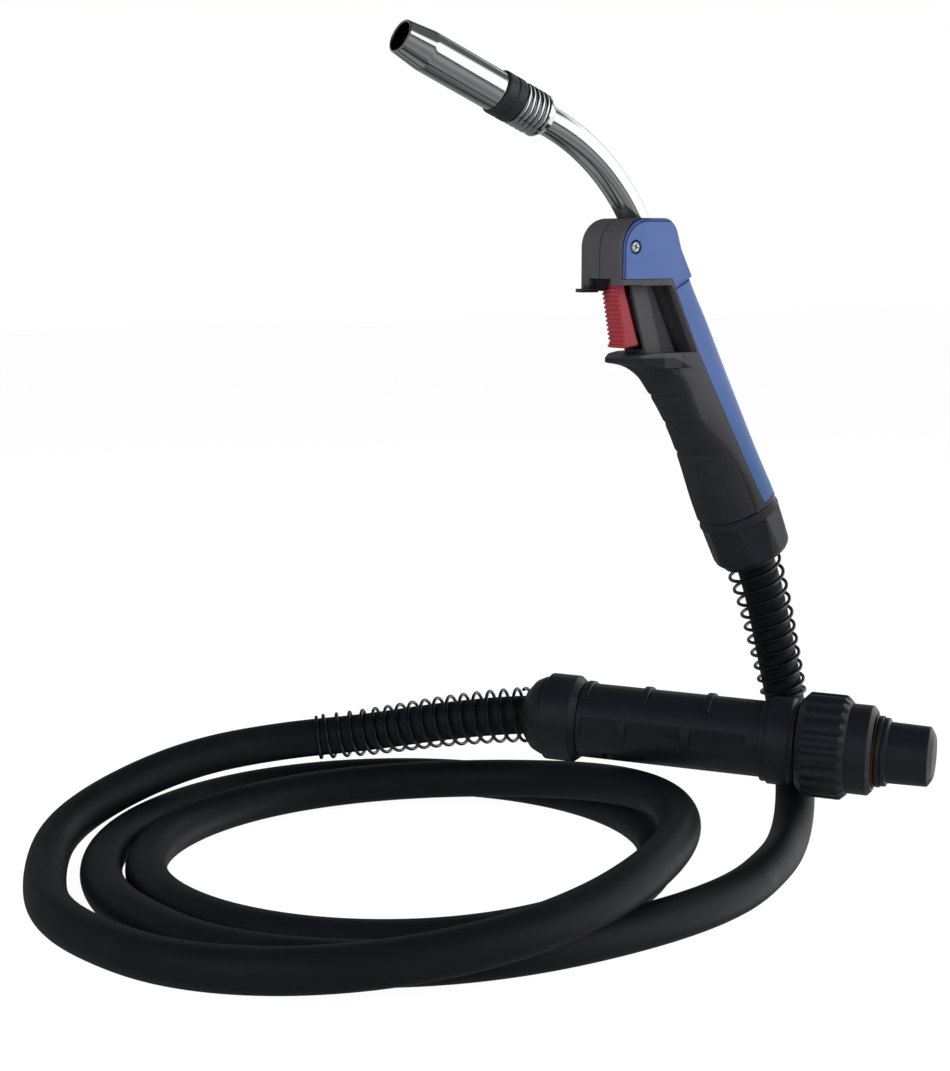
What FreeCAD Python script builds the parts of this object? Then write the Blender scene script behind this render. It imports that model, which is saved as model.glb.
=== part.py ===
"""MIG welding torch: gun with swan neck, coiled cable and central-adaptor plug.

Millimetres, +Z up. The origin lies on the handle's axis at the middle of the grip. The gun's mid-plane is
XZ and its nozzle points towards -X. Handle pieces are drawn upright on the handle's own axis (Z along it,
+X to its back) and then leaned forward. Nozzle pieces are drawn along Z from the end of the neck's bend,
and plug pieces along Z from the small end of the rear collar.
"""
import FreeCAD, Part
import math
import os

from FreeCAD import Placement, Rotation, Vector

# Clearances
FIT = 0.05              # between nested pieces of one assembly
RUN = 0.15              # between pieces that slide or turn on each other
SEAT = 0.3              # between a piece and the seat that it is laid against
PLAY = 0.6              # each side of the trigger in its channel

# Handle axis and neck
LEAN = 25.0             # handle axis forward of upright, degrees
NECK_ROOT = 61.0        # start of the neck along the handle axis
NECK_STRAIGHT = 98.0    # start of its bend
NECK_BEND = 41.8        # degrees
NECK_BEND_R = 100.0
NECK_R = 6.7            # outside of the insulated jacket
CONDUCTOR_R = 5.0
CONDUCTOR_BORE = 2.7
LINER_R = 2.2
LINER_BORE = 1.0

# Nozzle group, lengths from the end of the bend
JACKET_END = 7.0
COLLAR_START = 2.4
COLLAR_R = 9.8
COLLAR_TOE = 0.35       # wall of the collar's thin end
CONDUCTOR_END = 17.0
DIFFUSER_SEAT_R = 7.6
DIFFUSER_R = 6.6
DIFFUSER_SHOULDER = 20.3
DIFFUSER_END = 36.0
GAS_HOLE_R = 1.1
GAS_HOLES = 6
NOZZLE_SPRING_WIRE = 1.8
NOZZLE_SPRING_TURNS = 4
INSULATOR_R = 10.0
INSULATOR_LENGTH = 10.2
INSULATOR_FLOOR = 3.5
SPIGOT_R = 8.2
SPIGOT_LENGTH = 6.0
NOZZLE_R = 9.0
NOZZLE_LENGTH = 52.0    # visible length in front of the insulator
NOZZLE_TAPER = 13.5
NOZZLE_MOUTH_R = 7.4
NOZZLE_WALL = 1.1
HOLDER_R = 5.0
HOLDER_LENGTH = 14.0
TIP_R = 3.0
TIP_THREAD = 6.0
TIP_RECESS = 3.2        # contact tip behind the nozzle's mouth
WIRE_BORE_R = 0.55

# Handle envelope: along the axis, front and back half depth, half width, squareness
ENVELOPE = [
    (-43.0, 19.0, 18.5, 18.3, 2.3),
    (-30.0, 19.1, 17.8, 17.6, 2.3),
    (-12.0, 18.2, 16.7, 16.8, 2.3),
    (6.0, 18.1, 15.6, 16.5, 2.4),
    (22.0, 20.2, 14.6, 16.3, 2.5),
    (38.0, 23.4, 13.5, 16.1, 2.7),
    (54.0, 24.5, 12.4, 15.9, 2.9),
    (73.0, 25.0, 11.1, 15.6, 3.1),
]
ENVELOPE_POINTS = 28
COVER_WALL = 2.2
GRIP_WALL = 2.4
SEAM = 0.25             # gap between covers and what they meet edge on

# Head, in the gun's own X and Z
HEAD_HALF = 15.5
HEAD_FRONT = -64.4
HEAD_FOOT = 65.0
HEAD_TOP = 97.0
HEAD_FRONT_R = 13.0
HEAD_BACK_X = -31.0
HEAD_BACK_R = 9.0
HEAD_WAIST = (-27.2, 83.0)
HEAD_EDGE_R = 2.2
FACET_START = 5.0       # rear facet starts here, in front of the axis
FACET_HALF = 11.8       # half width that it has narrowed to at the back
COVER_FOOT = 70.0       # bottom edge of the blue side
COVER_FRONT = 1.4       # blue side set back from the front face
COVER_FRONT_R = 15.0
WRAP_START = -45.0      # blue goes over the top behind this
RIM_FRONT = 3.3         # rim of the window, in front of the axis
RIM_TOP = 67.0
SHELF = 36.4
SLOT_HALF = 8.0
LIP_REACH = 5.4
LIP_THICK = 1.3
LIP_HALF = 14.0

# Trunk behind the trigger, across and in front of the axis
TRUNK_HALF = 8.0
TRUNK_FRONT_TOP = 19.5
TRUNK_FRONT_FOOT = 24.5
POCKET_FLOOR_BACK = 7.1
POCKET_FLOOR_FRONT = 4.7
CHANNEL_BACK = 12.0
FACE_STEP = 9.0         # where the raised face of the trunk starts

# Guard under the trigger
GUARD_TIP = (-59.0, 33.4)
GUARD_UNDER = 29.6

# Bores and spigot of the handle
HEAD_BORE_END = 47.0
UPPER_BORE_R = 6.7
GRIP_BORE_R = 10.4
GRIP_BORE_END = 34.0
SPIGOT_NUT_R = 14.0
SPIGOT_NUT_LENGTH = 10.0
DUCT = (9.6, 14.4, 2.6)  # switch leads' duct: from, to, half width

# Trigger and switch
PIVOT = (-56.0, 70.6)
PIN_R = 1.5
PIN_LENGTH = 22.0
HUB_R = 3.9
TRIGGER_HALF = 5.5
TRIGGER_TOP = (-59.5, 66.0)
TRIGGER_TOE = (-55.0, 38.4)
TRIGGER_HEEL = (-46.4, 39.6)
TRIGGER_BACK = (-54.8, 66.0)
RIDGES = 14
RIDGE_DEPTH = 0.5
SPRING_SLOT_HALF = 2.4
SPRING_SLOT_FOOT = 59.0
SWITCH_FOOT = 59.0
SWITCH_LENGTH = 18.0
SWITCH_HALF = 3.1
SWITCH_DEPTH = 8.0
PLUNGER_R = 1.2
PLUNGER_AT = 68.0
PLUNGER_TIP = 23.2
PLUNGER_ROOT = 5.0      # length inside the switch
LEAD_R = 0.8
LEAD_Y = 1.3
LEAD_N = 13.0
LEAD_END = 2.0

# Head screw
SCREW_AT = (-55.9, 84.1)
SCREW_R = 1.5
SCREW_HEAD_R = 2.6
SCREW_HEAD_H = 1.7
SCREW_RECESS_R = 3.3
SCREW_RECESS_DEPTH = 1.9
SCREW_NUT_AF = 5.5
SCREW_NUT_H = 2.4
SCREW_NUT_SUNK = 1.0

# Current path in the handle
NECK_NUT_AF = 11.0
NECK_NUT_LENGTH = 12.0
CONNECTOR_R = 7.4
CONNECTOR_NECK_R = 6.0
CONNECTOR_STEP = 30.0
CONNECTOR_FLANGE_R = 10.2
CONNECTOR_FLANGE = (-34.0, -28.0)

# End nut of the handle
NUT_TOP_R = 19.4
NUT_FOOT_R = 18.7
NUT_LENGTH = 26.4
NUT_LOBES = 8
NUT_FLAT = 0.7          # depth of each flat
NUT_CHAMFER = 2.6

# Cable
CABLE_D = 19.0
CABLE_START = -58.0     # along the handle axis
FLOOR = -205.0
GUN_ROUTE = [
    (24.5, 0.0, -52.6), (35.5, 0.0, -76.1), (44.6, 0.0, -109.5), (51.6, -0.5, -137.0), (51.2, -6.5, -157.0),
    (45.2, -17.0, -175.0), (34.0, -29.0, -188.5), (17.5, -43.0, -195.5), (-8.0, -63.0, -195.5),
    (-53.0, -89.5, -195.5), (-112.5, -100.5, -195.5), (-181.5, -97.0, -195.5), (-238.5, -71.5, -195.5),
]
COIL_CENTRE = (-159.1, 40.2)
COIL_START = 192.0      # direction of the first station from the centre, degrees
# Each quarter turn of the coil: radius, height of the axis over the floor, and how both change per quarter
COIL = [
    (126.0, 9.5, -14.0, 0.0), (137.0, 9.5, 31.0, 0.0), (146.0, 9.5, -24.0, 0.0), (115.5, 9.5, -9.0, 0.0),
    (104.6, 9.5, -6.0, 0.0), (113.5, 10.0, 21.0, 3.0), (130.0, 22.6, 7.0, 31.0), (147.5, 29.7, 13.0, -5.0),
    (153.0, 9.5, -6.0, 0.0),
]
COIL_LEAD = 40.0        # straight lead where the coil meets its two stretches
PLUG_ROUTE = [
    (-296.5, 102.5, -194.5), (-273.5, 142.0, -188.0), (-235.5, 163.5, -179.5), (-190.1, 168.8, -170.0),
    (-143.1, 162.1, -166.5), (-105.9, 140.4, -163.0), (-80.8, 103.8, -152.5),
]
ARC_SHARE = 0.45        # of the shorter run beside each arc

# Strain relief springs on the cable
SPRING_WIRE = 1.55
GUN_SPRING_TURNS = 11
GUN_SPRING_LENGTH = 74.0
GUN_SPRING_R = (13.0, 10.75)
REAR_SPRING_TURNS = 18
REAR_SPRING_LENGTH = 122.0
REAR_SPRING_R = (10.65, 13.1)

# Plug: small end of the rear collar, and where its axis points
PLUG_AT = (-54.06, 69.73, -145.6)
PLUG_AXIS = (0.6222, -0.7822, -0.0312)
COLLAR_SMALL_R = 12.1
COLLAR_BELL_R = 19.3
COLLAR_RING_R = 21.3
COLLAR_LENGTH = 28.4
COLLAR_RING = (10.8, 25.0)
COLLAR_FLOOR = 9.0
CABLE_END = 8.8
CRIMP_R = 9.2
CRIMP_LENGTH = 14.0
STEM_R = 6.8
HOUSING_R = 18.3
HOUSING_BORE = 14.6
HOUSING_NECK_R = 16.0
HOUSING_END = 118.0
RECESSES = [(31.0, 49.5), (53.5, 80.5), (85.0, 112.0)]
RECESS_DEPTH = 0.9
RECESS_TOP = 5.5
RECESS_FOOT = -7.0
PADS = [29.6, 58.5, 89.5]
PAD_WIDTH = 3.6
PAD_HEIGHT = 1.1
PAD_HALF = 46.0         # degrees to each side of the top
HOUSING_SECTORS = [0, 90 - PAD_HALF, 90 + PAD_HALF, 180, 270, 360]  # degrees at which its walls are parted
FLANGE_R = 21.0
FLANGE_STEP_R = 20.0
FLANGE_LENGTH = 16.6
BODY_START = 62.0
BODY_R = 14.4
BODY_SHOULDER_R = 16.2
BODY_SHOULDER = (140.2, 146.0)
FACE = 172.6            # front of the plug's insulating face
FACE_R = 15.3
FACE_LENGTH = 12.0
FACE_RIM = 2.4          # raised step in front of the face
CAP_SEAT_R = 12.6
CAP_SEAT = 5.0
NUT_START = 135.4
NUT_RIBBED = 23.4
NUT_SMOOTH = 13.2
NUT_RIB_R = 24.2
NUT_RIB_DEPTH = 1.0
NUT_RIBS = 24
NUT_SMOOTH_R = 21.3
NUT_BORE = 17.4
NUT_LIP = 3.0
INSERT_BORE = 15.9
INSERT_LENGTH = 22.0
PIN_MAIN_R = 5.0
PIN_ROOT_R = 5.4        # the pin inside the plug, up to its shoulder
PIN_ROOT_LENGTH = 14.0  # how far the pin goes into the plug's body
PIN_MAIN_REACH = 20.0
PIN_MAIN_BORE = 1.2
SIGNAL_R = 1.6
SIGNAL_OFF = 9.0
SIGNAL_REACH = 7.0
SIGNAL_LENGTH = 18.0
CAP_R = 14.5
CAP_WALL = 1.7
CAP_LENGTH = 24.0
CASE_SCREW_X = 11.2
CASE_SCREW_AT = 44.0
CASE_SCREW_R = 1.3
CASE_SCREW_HEAD_R = 2.5
CASE_BOSS_R = 3.2

# Places that follow
HANDLE = Placement(Vector(), Rotation(Vector(0, 1, 0), -LEAN))
BEND_DROP = NECK_BEND_R * (1 - math.cos(math.radians(NECK_BEND)))
BEND_RISE = NECK_BEND_R * math.sin(math.radians(NECK_BEND))
NOZZLE = HANDLE * Placement(Vector(-BEND_DROP, 0, NECK_STRAIGHT + BEND_RISE), Rotation(Vector(0, 1, 0), -NECK_BEND))
PLUG_Z = Vector(*PLUG_AXIS).normalize()
PLUG_X = Vector(0, 0, 1).cross(PLUG_Z).normalize()
PLUG = Placement(Vector(*PLUG_AT), Rotation(PLUG_X, PLUG_Z.cross(PLUG_X), PLUG_Z, "ZXY"))
INSULATOR_START = DIFFUSER_SHOULDER + FIT
NOZZLE_BACK = INSULATOR_START + INSULATOR_LENGTH
MOUTH = NOZZLE_BACK + NOZZLE_LENGTH
NUT_BACK = ENVELOPE[0][0] - SEAT


# Outlines and solids

def side(x, z):
    """Point of the gun's mid-plane."""
    return Vector(x, 0, z)


def across(n, y):
    """Point square to the handle axis, n in front of it."""
    return Vector(-n, y, 0)


def flat(x, y):
    return Vector(x, y, 0)


def outline(corners, lay):
    """Closed wire of straight lines; a corner with a third value is rounded to that radius."""
    pts = [lay(c[0], c[1]) for c in corners]
    radii = [c[2] if len(c) > 2 else 0 for c in corners]
    ends, edges = [], []
    for i, p in enumerate(pts):
        u = (pts[i - 1] - p).normalize()
        w = (pts[(i + 1) % len(pts)] - p).normalize()
        half = u.getAngle(w) / 2
        cut = radii[i] / math.tan(half) if radii[i] else 0
        middle = p + (u + w).normalize() * (radii[i] / math.sin(half) - radii[i]) if radii[i] else p
        ends.append((p + u * cut, middle, p + w * cut))
    for i, (a, m, b) in enumerate(ends):
        if radii[i]:
            edges.append(Part.Arc(a, m, b).toShape())
        edges.append(Part.makeLine(b, ends[(i + 1) % len(ends)][0]))
    return Part.Wire(edges)


def prism(corners, lay, low, high):
    """Outline carried from low to high along the axis that its plane is square to."""
    normal = lay(1, 0).sub(lay(0, 0)).cross(lay(0, 1).sub(lay(0, 0)))
    normal = Vector(abs(normal.x), abs(normal.y), abs(normal.z))
    face = Part.Face(outline(corners, lay))
    face.translate(normal * low)
    return face.extrude(normal * (high - low))


def slab(corners, half):
    """Side outline of the gun carried to both sides of its mid-plane."""
    return prism(corners, side, -half, half)


def turned(profile):
    """Solid of revolution about Z; the profile's corners are radius, height and an optional rounding."""
    return Part.Face(outline(profile, side)).revolve(Vector(), Vector(0, 0, 1), 360)


def sector(profile, low, high):
    """Part of a solid of revolution, between two angles."""
    face = Part.Face(outline(profile, side))
    face.rotate(Vector(), Vector(0, 0, 1), low)
    return face.revolve(Vector(), Vector(0, 0, 1), high - low)


def tube(outer, inner, low, high):
    """Straight tube along Z, solid where the inner radius is 0."""
    body = Part.makeCylinder(outer, high - low, Vector(0, 0, low))
    if not inner:
        return body
    return body.cut(Part.makeCylinder(inner, high - low, Vector(0, 0, low)))


def hexagon(flats, low, high):
    corner = flats / 2 / math.cos(math.radians(30))
    ring = [(corner * math.cos(math.radians(60 * i)), corner * math.sin(math.radians(60 * i))) for i in range(6)]
    return prism(ring, flat, low, high)


def drop(x_from, x_to, half, z_from, z_to):
    """Box with its sides square to the axes, even about y = 0."""
    return Part.makeBox(x_to - x_from, 2 * half, z_to - z_from, Vector(x_from, -half, z_from))


def placed(shape, place):
    out = shape.copy()
    out.Placement = place * out.Placement
    return out


def on_handle(shape):
    return placed(shape, HANDLE)


def on_nozzle(shape):
    return placed(shape, NOZZLE)


def on_plug(shape):
    return placed(shape, PLUG)


def handle_xz(n, t):
    """Mid-plane X and Z of a point n in front of the handle axis and t along it."""
    p = HANDLE.multVec(Vector(-n, 0, t))
    return p.x, p.z


def rim_x(n, z):
    """X at height z on the line that runs n in front of the handle axis."""
    a = math.radians(LEAN)
    return -(n + z * math.sin(a)) / math.cos(a)


# Swept tubes

def arc_edge(start, tangent, end):
    """Arc that leaves start along tangent and reaches end, and its radius."""
    chord = end - start
    along = chord.dot(tangent)
    off = tangent - chord * (along / chord.dot(chord))
    if off.Length < 1e-7:
        return Part.makeLine(start, end), float("inf")
    angle = chord.getAngle(tangent)
    middle = (start + end) * 0.5 + off.normalize() * (chord.Length / 2 * math.tan(angle / 2))
    return Part.Arc(start, middle, end).toShape(), chord.Length / 2 / math.sin(angle)


def biarc(p0, t0, p1, t1):
    """Two arcs from p0 along t0 to p1 along t1, and the smaller of their radii."""
    v = p1 - p0
    k = 2 * (1 - t0.dot(t1))
    vt = v.dot(t0 + t1)
    d = (math.sqrt(vt * vt + k * v.dot(v)) - vt) / k
    joint = (p0 + p1) * 0.5 + (t0 - t1) * (d / 2)
    first, r0 = arc_edge(p0, t0, joint)
    tangent = (joint - p0 - t0 * d).normalize()
    second, r1 = arc_edge(joint, tangent, p1)
    return [first, second], min(r0, r1)


def swept(edges, radius):
    """Round rod or tube along joined edges."""
    path = Part.Wire(edges)
    first = edges[0]
    ring = Part.Wire(Part.makeCircle(radius, first.valueAt(first.FirstParameter), first.tangentAt(first.FirstParameter)))
    return path.makePipeShell([ring], True, False)


def run_edges(points):
    """Straight runs joined by arcs as large as the runs allow, and the arcs' radii."""
    pts = [Vector(*p) for p in points]
    edges, radii, last = [], [], pts[0]
    for a, b, c in zip(pts, pts[1:], pts[2:]):
        u = (a - b).normalize()
        w = (c - b).normalize()
        turn = math.pi - u.getAngle(w)
        cut = ARC_SHARE * min((a - b).Length, (c - b).Length)
        radii.append(cut / math.tan(turn / 2))
        edges.append(Part.makeLine(last, b + u * cut))
        edges.append(arc_edge(b + u * cut, u * -1, b + w * cut)[0])
        last = b + w * cut
    edges.append(Part.makeLine(last, pts[-1]))
    return edges, radii


def coil_station(k):
    """Point and direction of the coil's axis at quarter turn k, clockwise seen from above."""
    radius, height, swell, climb = COIL[k]
    a = math.radians(COIL_START - 90 * k)
    out = Vector(math.cos(a), math.sin(a), 0)
    ahead = Vector(math.sin(a), -math.cos(a), 0)
    point = Vector(COIL_CENTRE[0], COIL_CENTRE[1], FLOOR + height) + out * radius
    quarter = math.pi / 2
    return point, (ahead * radius + out * (swell / quarter) + Vector(0, 0, climb / quarter)).normalize()


def spaced(edges, step):
    """Points along joined edges, about a step apart, with their distance along the path."""
    out, gone = [], 0.0
    for e in edges:
        count = max(2, int(e.Length / step) + 1)
        for i in range(count):
            s = e.Length * i / count
            out.append((gone + s, e.valueAt(e.getParameterByLength(s))))
        gone += e.Length
    return out


def least_gap(edges, thickness, apart):
    """Least clear distance of a tube to itself, between points further apart along it than given."""
    pts = spaced(edges, 4 * thickness / CABLE_D + 0.5)
    best = float("inf")
    for i, (s, p) in enumerate(pts):
        for r, q in pts[i + 1:]:
            if r - s > apart:
                best = min(best, p.distanceToPoint(q))
    return best - thickness


class Line:
    """A cable's axis, read by distance along it."""

    def __init__(self, edges):
        self.edges = edges
        self.length = sum(e.Length for e in edges)

    def at(self, s):
        for e in self.edges:
            if s <= e.Length or e is self.edges[-1]:
                q = e.getParameterByLength(min(max(s, 0.0), e.Length))
                t = e.tangentAt(q)
                point = e.valueAt(q) + t * (s - min(max(s, 0.0), e.Length))
                return point, t
            s -= e.Length


def helix(line, start, length, radii, turns, wire, steps=2):
    """Round-wire spring about a line: from one radius to the other over its length."""
    def point(f):
        p, t = line.at(start + length * f)
        u = t.cross(Vector(0, 1, 0)).normalize()
        w = t.cross(u)
        a = 2 * math.pi * turns * f
        r = radii[0] + (radii[1] - radii[0]) * f
        return p + (u * math.cos(a) + w * math.sin(a)) * r

    count = turns * steps
    small = 1e-4
    pts = [point(i / count) for i in range(count + 1)]
    dirs = [(point(i / count + small) - point(i / count - small)).normalize() for i in range(count + 1)]
    edges = [Part.makeLine(pts[0] - dirs[0] * wire, pts[0])]
    for i in range(count):
        edges += biarc(pts[i], dirs[i], pts[i + 1], dirs[i + 1])[0]
    edges.append(Part.makeLine(pts[-1], pts[-1] + dirs[-1] * wire))
    return swept(edges, wire / 2), edges


# Neck and nozzle

def neck_path(low, beyond):
    """Axis of the neck from a place on the handle axis to a length past its bend."""
    bend = math.radians(NECK_BEND)
    foot, start = Vector(0, 0, low), Vector(0, 0, NECK_STRAIGHT)
    end = Vector(-BEND_DROP, 0, NECK_STRAIGHT + BEND_RISE)
    half = bend / 2
    middle = Vector(-NECK_BEND_R * (1 - math.cos(half)), 0, NECK_STRAIGHT + NECK_BEND_R * math.sin(half))
    ahead = Vector(-math.sin(bend), 0, math.cos(bend))
    return [Part.makeLine(foot, start), Part.Arc(start, middle, end).toShape(), Part.makeLine(end, end + ahead * beyond)]


def neck_tube(outer, inner, low, beyond):
    edges = neck_path(low, beyond)
    return on_handle(swept(edges, outer).cut(swept(edges, inner)))


def neck_collar():
    bore = NECK_R + FIT
    return on_nozzle(turned([
        (bore, COLLAR_START), (bore + COLLAR_TOE, COLLAR_START), (COLLAR_R, JACKET_END - 1.0, 0.4),
        (COLLAR_R, JACKET_END), (bore, JACKET_END),
    ]))


def gas_diffuser():
    start = JACKET_END + FIT
    body = turned([
        (CONDUCTOR_R + FIT, start), (DIFFUSER_SEAT_R, start), (DIFFUSER_SEAT_R, DIFFUSER_SHOULDER),
        (DIFFUSER_R, DIFFUSER_SHOULDER), (DIFFUSER_R, DIFFUSER_END), (LINER_R + FIT, DIFFUSER_END),
        (LINER_R + FIT, CONDUCTOR_END + FIT), (CONDUCTOR_R + FIT, CONDUCTOR_END + FIT),
    ])
    for i in range(GAS_HOLES):
        a = math.radians(360 / GAS_HOLES * i)
        out = Vector(math.cos(a), math.sin(a), 0)
        level = (NOZZLE_BACK + DIFFUSER_END) / 2
        body = body.cut(Part.makeCylinder(GAS_HOLE_R, DIFFUSER_R, out * (LINER_R + 1.0) + Vector(0, 0, level), out))
    return on_nozzle(body)


def nozzle_spring():
    start = JACKET_END + SEAT + NOZZLE_SPRING_WIRE / 2
    end = DIFFUSER_SHOULDER - SEAT - NOZZLE_SPRING_WIRE / 2
    radius = DIFFUSER_SEAT_R + SEAT + NOZZLE_SPRING_WIRE / 2
    line = Line([Part.makeLine(Vector(), Vector(0, 0, DIFFUSER_END))])
    body, edges = helix(line, start, end - start, (radius, radius), NOZZLE_SPRING_TURNS, NOZZLE_SPRING_WIRE)
    print("nozzle spring gap", round(least_gap(edges, NOZZLE_SPRING_WIRE, 40), 2))
    return on_nozzle(body)


def insulator_ring():
    floor = INSULATOR_START + INSULATOR_FLOOR
    return on_nozzle(turned([
        (DIFFUSER_R + FIT, INSULATOR_START), (INSULATOR_R, INSULATOR_START, 0.5), (INSULATOR_R, NOZZLE_BACK, 0.8),
        (SPIGOT_R + RUN, NOZZLE_BACK), (SPIGOT_R + RUN, floor), (DIFFUSER_R + FIT, floor),
    ]))


def gas_nozzle():
    back = NOZZLE_BACK - SPIGOT_LENGTH
    taper = MOUTH - NOZZLE_TAPER
    lining = DIFFUSER_R + 2 * RUN
    return on_nozzle(turned([
        (lining, back), (SPIGOT_R, back, 0.3), (SPIGOT_R, NOZZLE_BACK + SEAT), (NOZZLE_R, NOZZLE_BACK + SEAT, 0.3),
        (NOZZLE_R, taper, 12.0), (NOZZLE_MOUTH_R, MOUTH, 0.3), (NOZZLE_MOUTH_R - NOZZLE_WALL, MOUTH, 0.3),
        (NOZZLE_R - NOZZLE_WALL, taper, 8.0), (NOZZLE_R - NOZZLE_WALL, DIFFUSER_END + 4.0), (lining, DIFFUSER_END + 2.0),
    ]))


def tip_holder():
    start, end = DIFFUSER_END + FIT, DIFFUSER_END + HOLDER_LENGTH
    body = hexagon(2 * HOLDER_R * math.cos(math.radians(30)), start, end)
    return on_nozzle(body.cut(tube(TIP_R + FIT, 0, end - TIP_THREAD, end)).cut(tube(LINER_R + FIT, 0, start, end)))


def contact_tip():
    root = DIFFUSER_END + HOLDER_LENGTH - TIP_THREAD + FIT
    end = MOUTH - TIP_RECESS
    return on_nozzle(turned([
        (WIRE_BORE_R, root), (TIP_R, root), (TIP_R, end - 6.0, 4.0), (TIP_R - 0.9, end, 0.4), (WIRE_BORE_R, end),
    ]))


# Handle

def envelope(inset=0.0):
    """Skin of the grip and spine, drawn in by an inset."""
    rings = []
    for t, front, back, half, square in ENVELOPE:
        points = []
        for i in range(ENVELOPE_POINTS):
            a = 2 * math.pi * (i + 0.5) / ENVELOPE_POINTS + math.radians(135)
            c, s = math.cos(a), math.sin(a)
            deep = (front if c > 0 else back) - inset
            reach = (abs(c / deep) ** square + abs(s / (half - inset)) ** square) ** (-1 / square)
            points.append(Vector(-c * reach, s * reach, t))
        curve = Part.BSplineCurve()
        curve.interpolate(Points=points, PeriodicFlag=True, Parameters=[float(i) for i in range(ENVELOPE_POINTS + 1)])
        rings.append(Part.Wire(curve.toShape()))
    return on_handle(Part.makeLoft(rings, True, False))


def head_corners():
    seam_back = handle_xz(-ENVELOPE[-1][2], ENVELOPE[-1][0])
    seam_rim = handle_xz(RIM_FRONT, ENVELOPE[-1][0])
    return [
        (HEAD_FRONT, HEAD_FOOT), (HEAD_FRONT, HEAD_TOP, HEAD_FRONT_R), (HEAD_BACK_X, HEAD_TOP, HEAD_BACK_R), HEAD_WAIST,
        seam_back, seam_rim, (rim_x(RIM_FRONT, RIM_TOP), RIM_TOP), (HEAD_FRONT + 4.4, RIM_TOP), (HEAD_FRONT + 4.4, HEAD_FOOT),
    ]


def rounded_slab(corners, half, radius, keep_below):
    """Side outline carried across, with the edges of both sides rounded above a height."""
    body = slab(corners, half)
    rims = [e for e in body.Edges
            if all(abs(abs(v.Point.y) - half) < 1e-6 for v in e.Vertexes) and e.CenterOfMass.z > keep_below
            and abs(abs(e.CenterOfMass.y) - half) < 1e-6]
    return body.makeFillet(radius, rims)


def head_block(inset=0.0):
    """Whole head, with its rear facets."""
    corners = head_corners()
    if inset:
        face = Part.Face(outline(corners, side)).makeOffset2D(-inset)
        body = face.extrude(Vector(0, 2 * (HEAD_HALF - inset), 0))
        body.translate(Vector(0, inset - HEAD_HALF, 0))
    else:
        body = rounded_slab(corners, HEAD_HALF, HEAD_EDGE_R, HEAD_FOOT + 7.0)
    back, half, far = -ENVELOPE[-1][2] - 6, HEAD_HALF - inset, 60
    slope = (HEAD_HALF - FACET_HALF) / (FACET_START + ENVELOPE[-1][2])
    low = half - slope * (FACET_START - back)
    facets = prism([(far, half), (FACET_START, half), (back, low), (back, -low), (FACET_START, -half), (far, -half)],
                   across, 40, 140)
    return body.common(on_handle(facets))


def blue_region(grow=0.0):
    """Side outline inside which the head's skin is blue."""
    front = HEAD_FRONT + COVER_FRONT - grow
    foot = COVER_FOOT - grow
    edge = RIM_FRONT - 1.8
    seam = ENVELOPE[-1][0] - grow
    return slab([(front, foot), (front, HEAD_TOP + 1.0 + grow, COVER_FRONT_R), (0, HEAD_TOP + 1.0 + grow),
                 handle_xz(-40, seam), handle_xz(edge + grow, seam), (rim_x(edge + grow, foot), foot)], 40)


def neck_hole(clear):
    return on_handle(swept(neck_path(HEAD_BORE_END, JACKET_END), NECK_R + clear))


def screw_line(radius, low, high):
    return Part.makeCylinder(radius, high - low, Vector(SCREW_AT[0], low, SCREW_AT[1]), Vector(0, 1, 0))


def head_core_room():
    """What the blue head cover leaves free inside."""
    inner = head_block(COVER_WALL)
    front = drop(HEAD_FRONT - 1, WRAP_START, HEAD_HALF - COVER_WALL, HEAD_FOOT - 2, HEAD_TOP + 2)
    return inner.fuse(front)


def screw_nut_pocket():
    pocket = hexagon(SCREW_NUT_AF + 2 * FIT, 0, SCREW_NUT_H + SCREW_NUT_SUNK)
    pocket.rotate(Vector(), Vector(1, 0, 0), -90)
    pocket.translate(Vector(SCREW_AT[0], HEAD_HALF - SCREW_NUT_H - SCREW_NUT_SUNK, SCREW_AT[1]))
    return pocket


def head_cover(block):
    body = block.common(blue_region()).cut(head_core_room()).cut(neck_hole(RUN))
    recess = SCREW_RECESS_DEPTH
    for low, high in ((-HEAD_HALF - 1, -HEAD_HALF + recess), (HEAD_HALF - recess, HEAD_HALF + 1)):
        body = body.cut(screw_line(SCREW_RECESS_R, low, high))
    return body.cut(screw_nut_pocket()).cut(screw_line(SCREW_R + RUN, -HEAD_HALF, HEAD_HALF))


def spine_region(grow=0.0):
    """Side outline behind which the spine's cover lies."""
    top, foot = ENVELOPE[-1][0] - SEAM + grow, ENVELOPE[0][0] + 2.0 - grow
    corners = [(RIM_FRONT - 1.0 + grow, top), (RIM_FRONT - 1.0 + grow, 42.0), (-3.3 + grow, foot), (-30, foot), (-30, top)]
    return slab([handle_xz(n, t) for n, t in corners], 40)


def grip_region(grow=0.0):
    """Side outline in front of which the soft grip lies: a curve down the side, and a level top."""
    points = [(26.7, 51.0), (14.4, 37.8), (12.0, 24.3), (11.6, 12.1), (7.2, -1.7), (3.3, -15.5), (2.7, -30.9), (2.6, -46.0)]
    curve = Part.BSplineCurve()
    curve.interpolate([side(*handle_xz(n - grow, t)) for n, t in points])
    top = side(*handle_xz(points[0][0] - grow, points[0][1]))
    foot = side(*handle_xz(points[-1][0] - grow, points[-1][1]))
    far_top, far_foot = side(*handle_xz(60, points[0][1])), side(*handle_xz(60, points[-1][1]))
    wire = Part.Wire([curve.toShape(), Part.makeLine(foot, far_foot), Part.makeLine(far_foot, far_top),
                      Part.makeLine(far_top, top)])
    body = Part.Face(wire).extrude(Vector(0, 80, 0))
    body.translate(Vector(0, -40, 0))
    return body.common(drop(-120, 120, 40, -120, GUARD_UNDER + grow))


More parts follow.
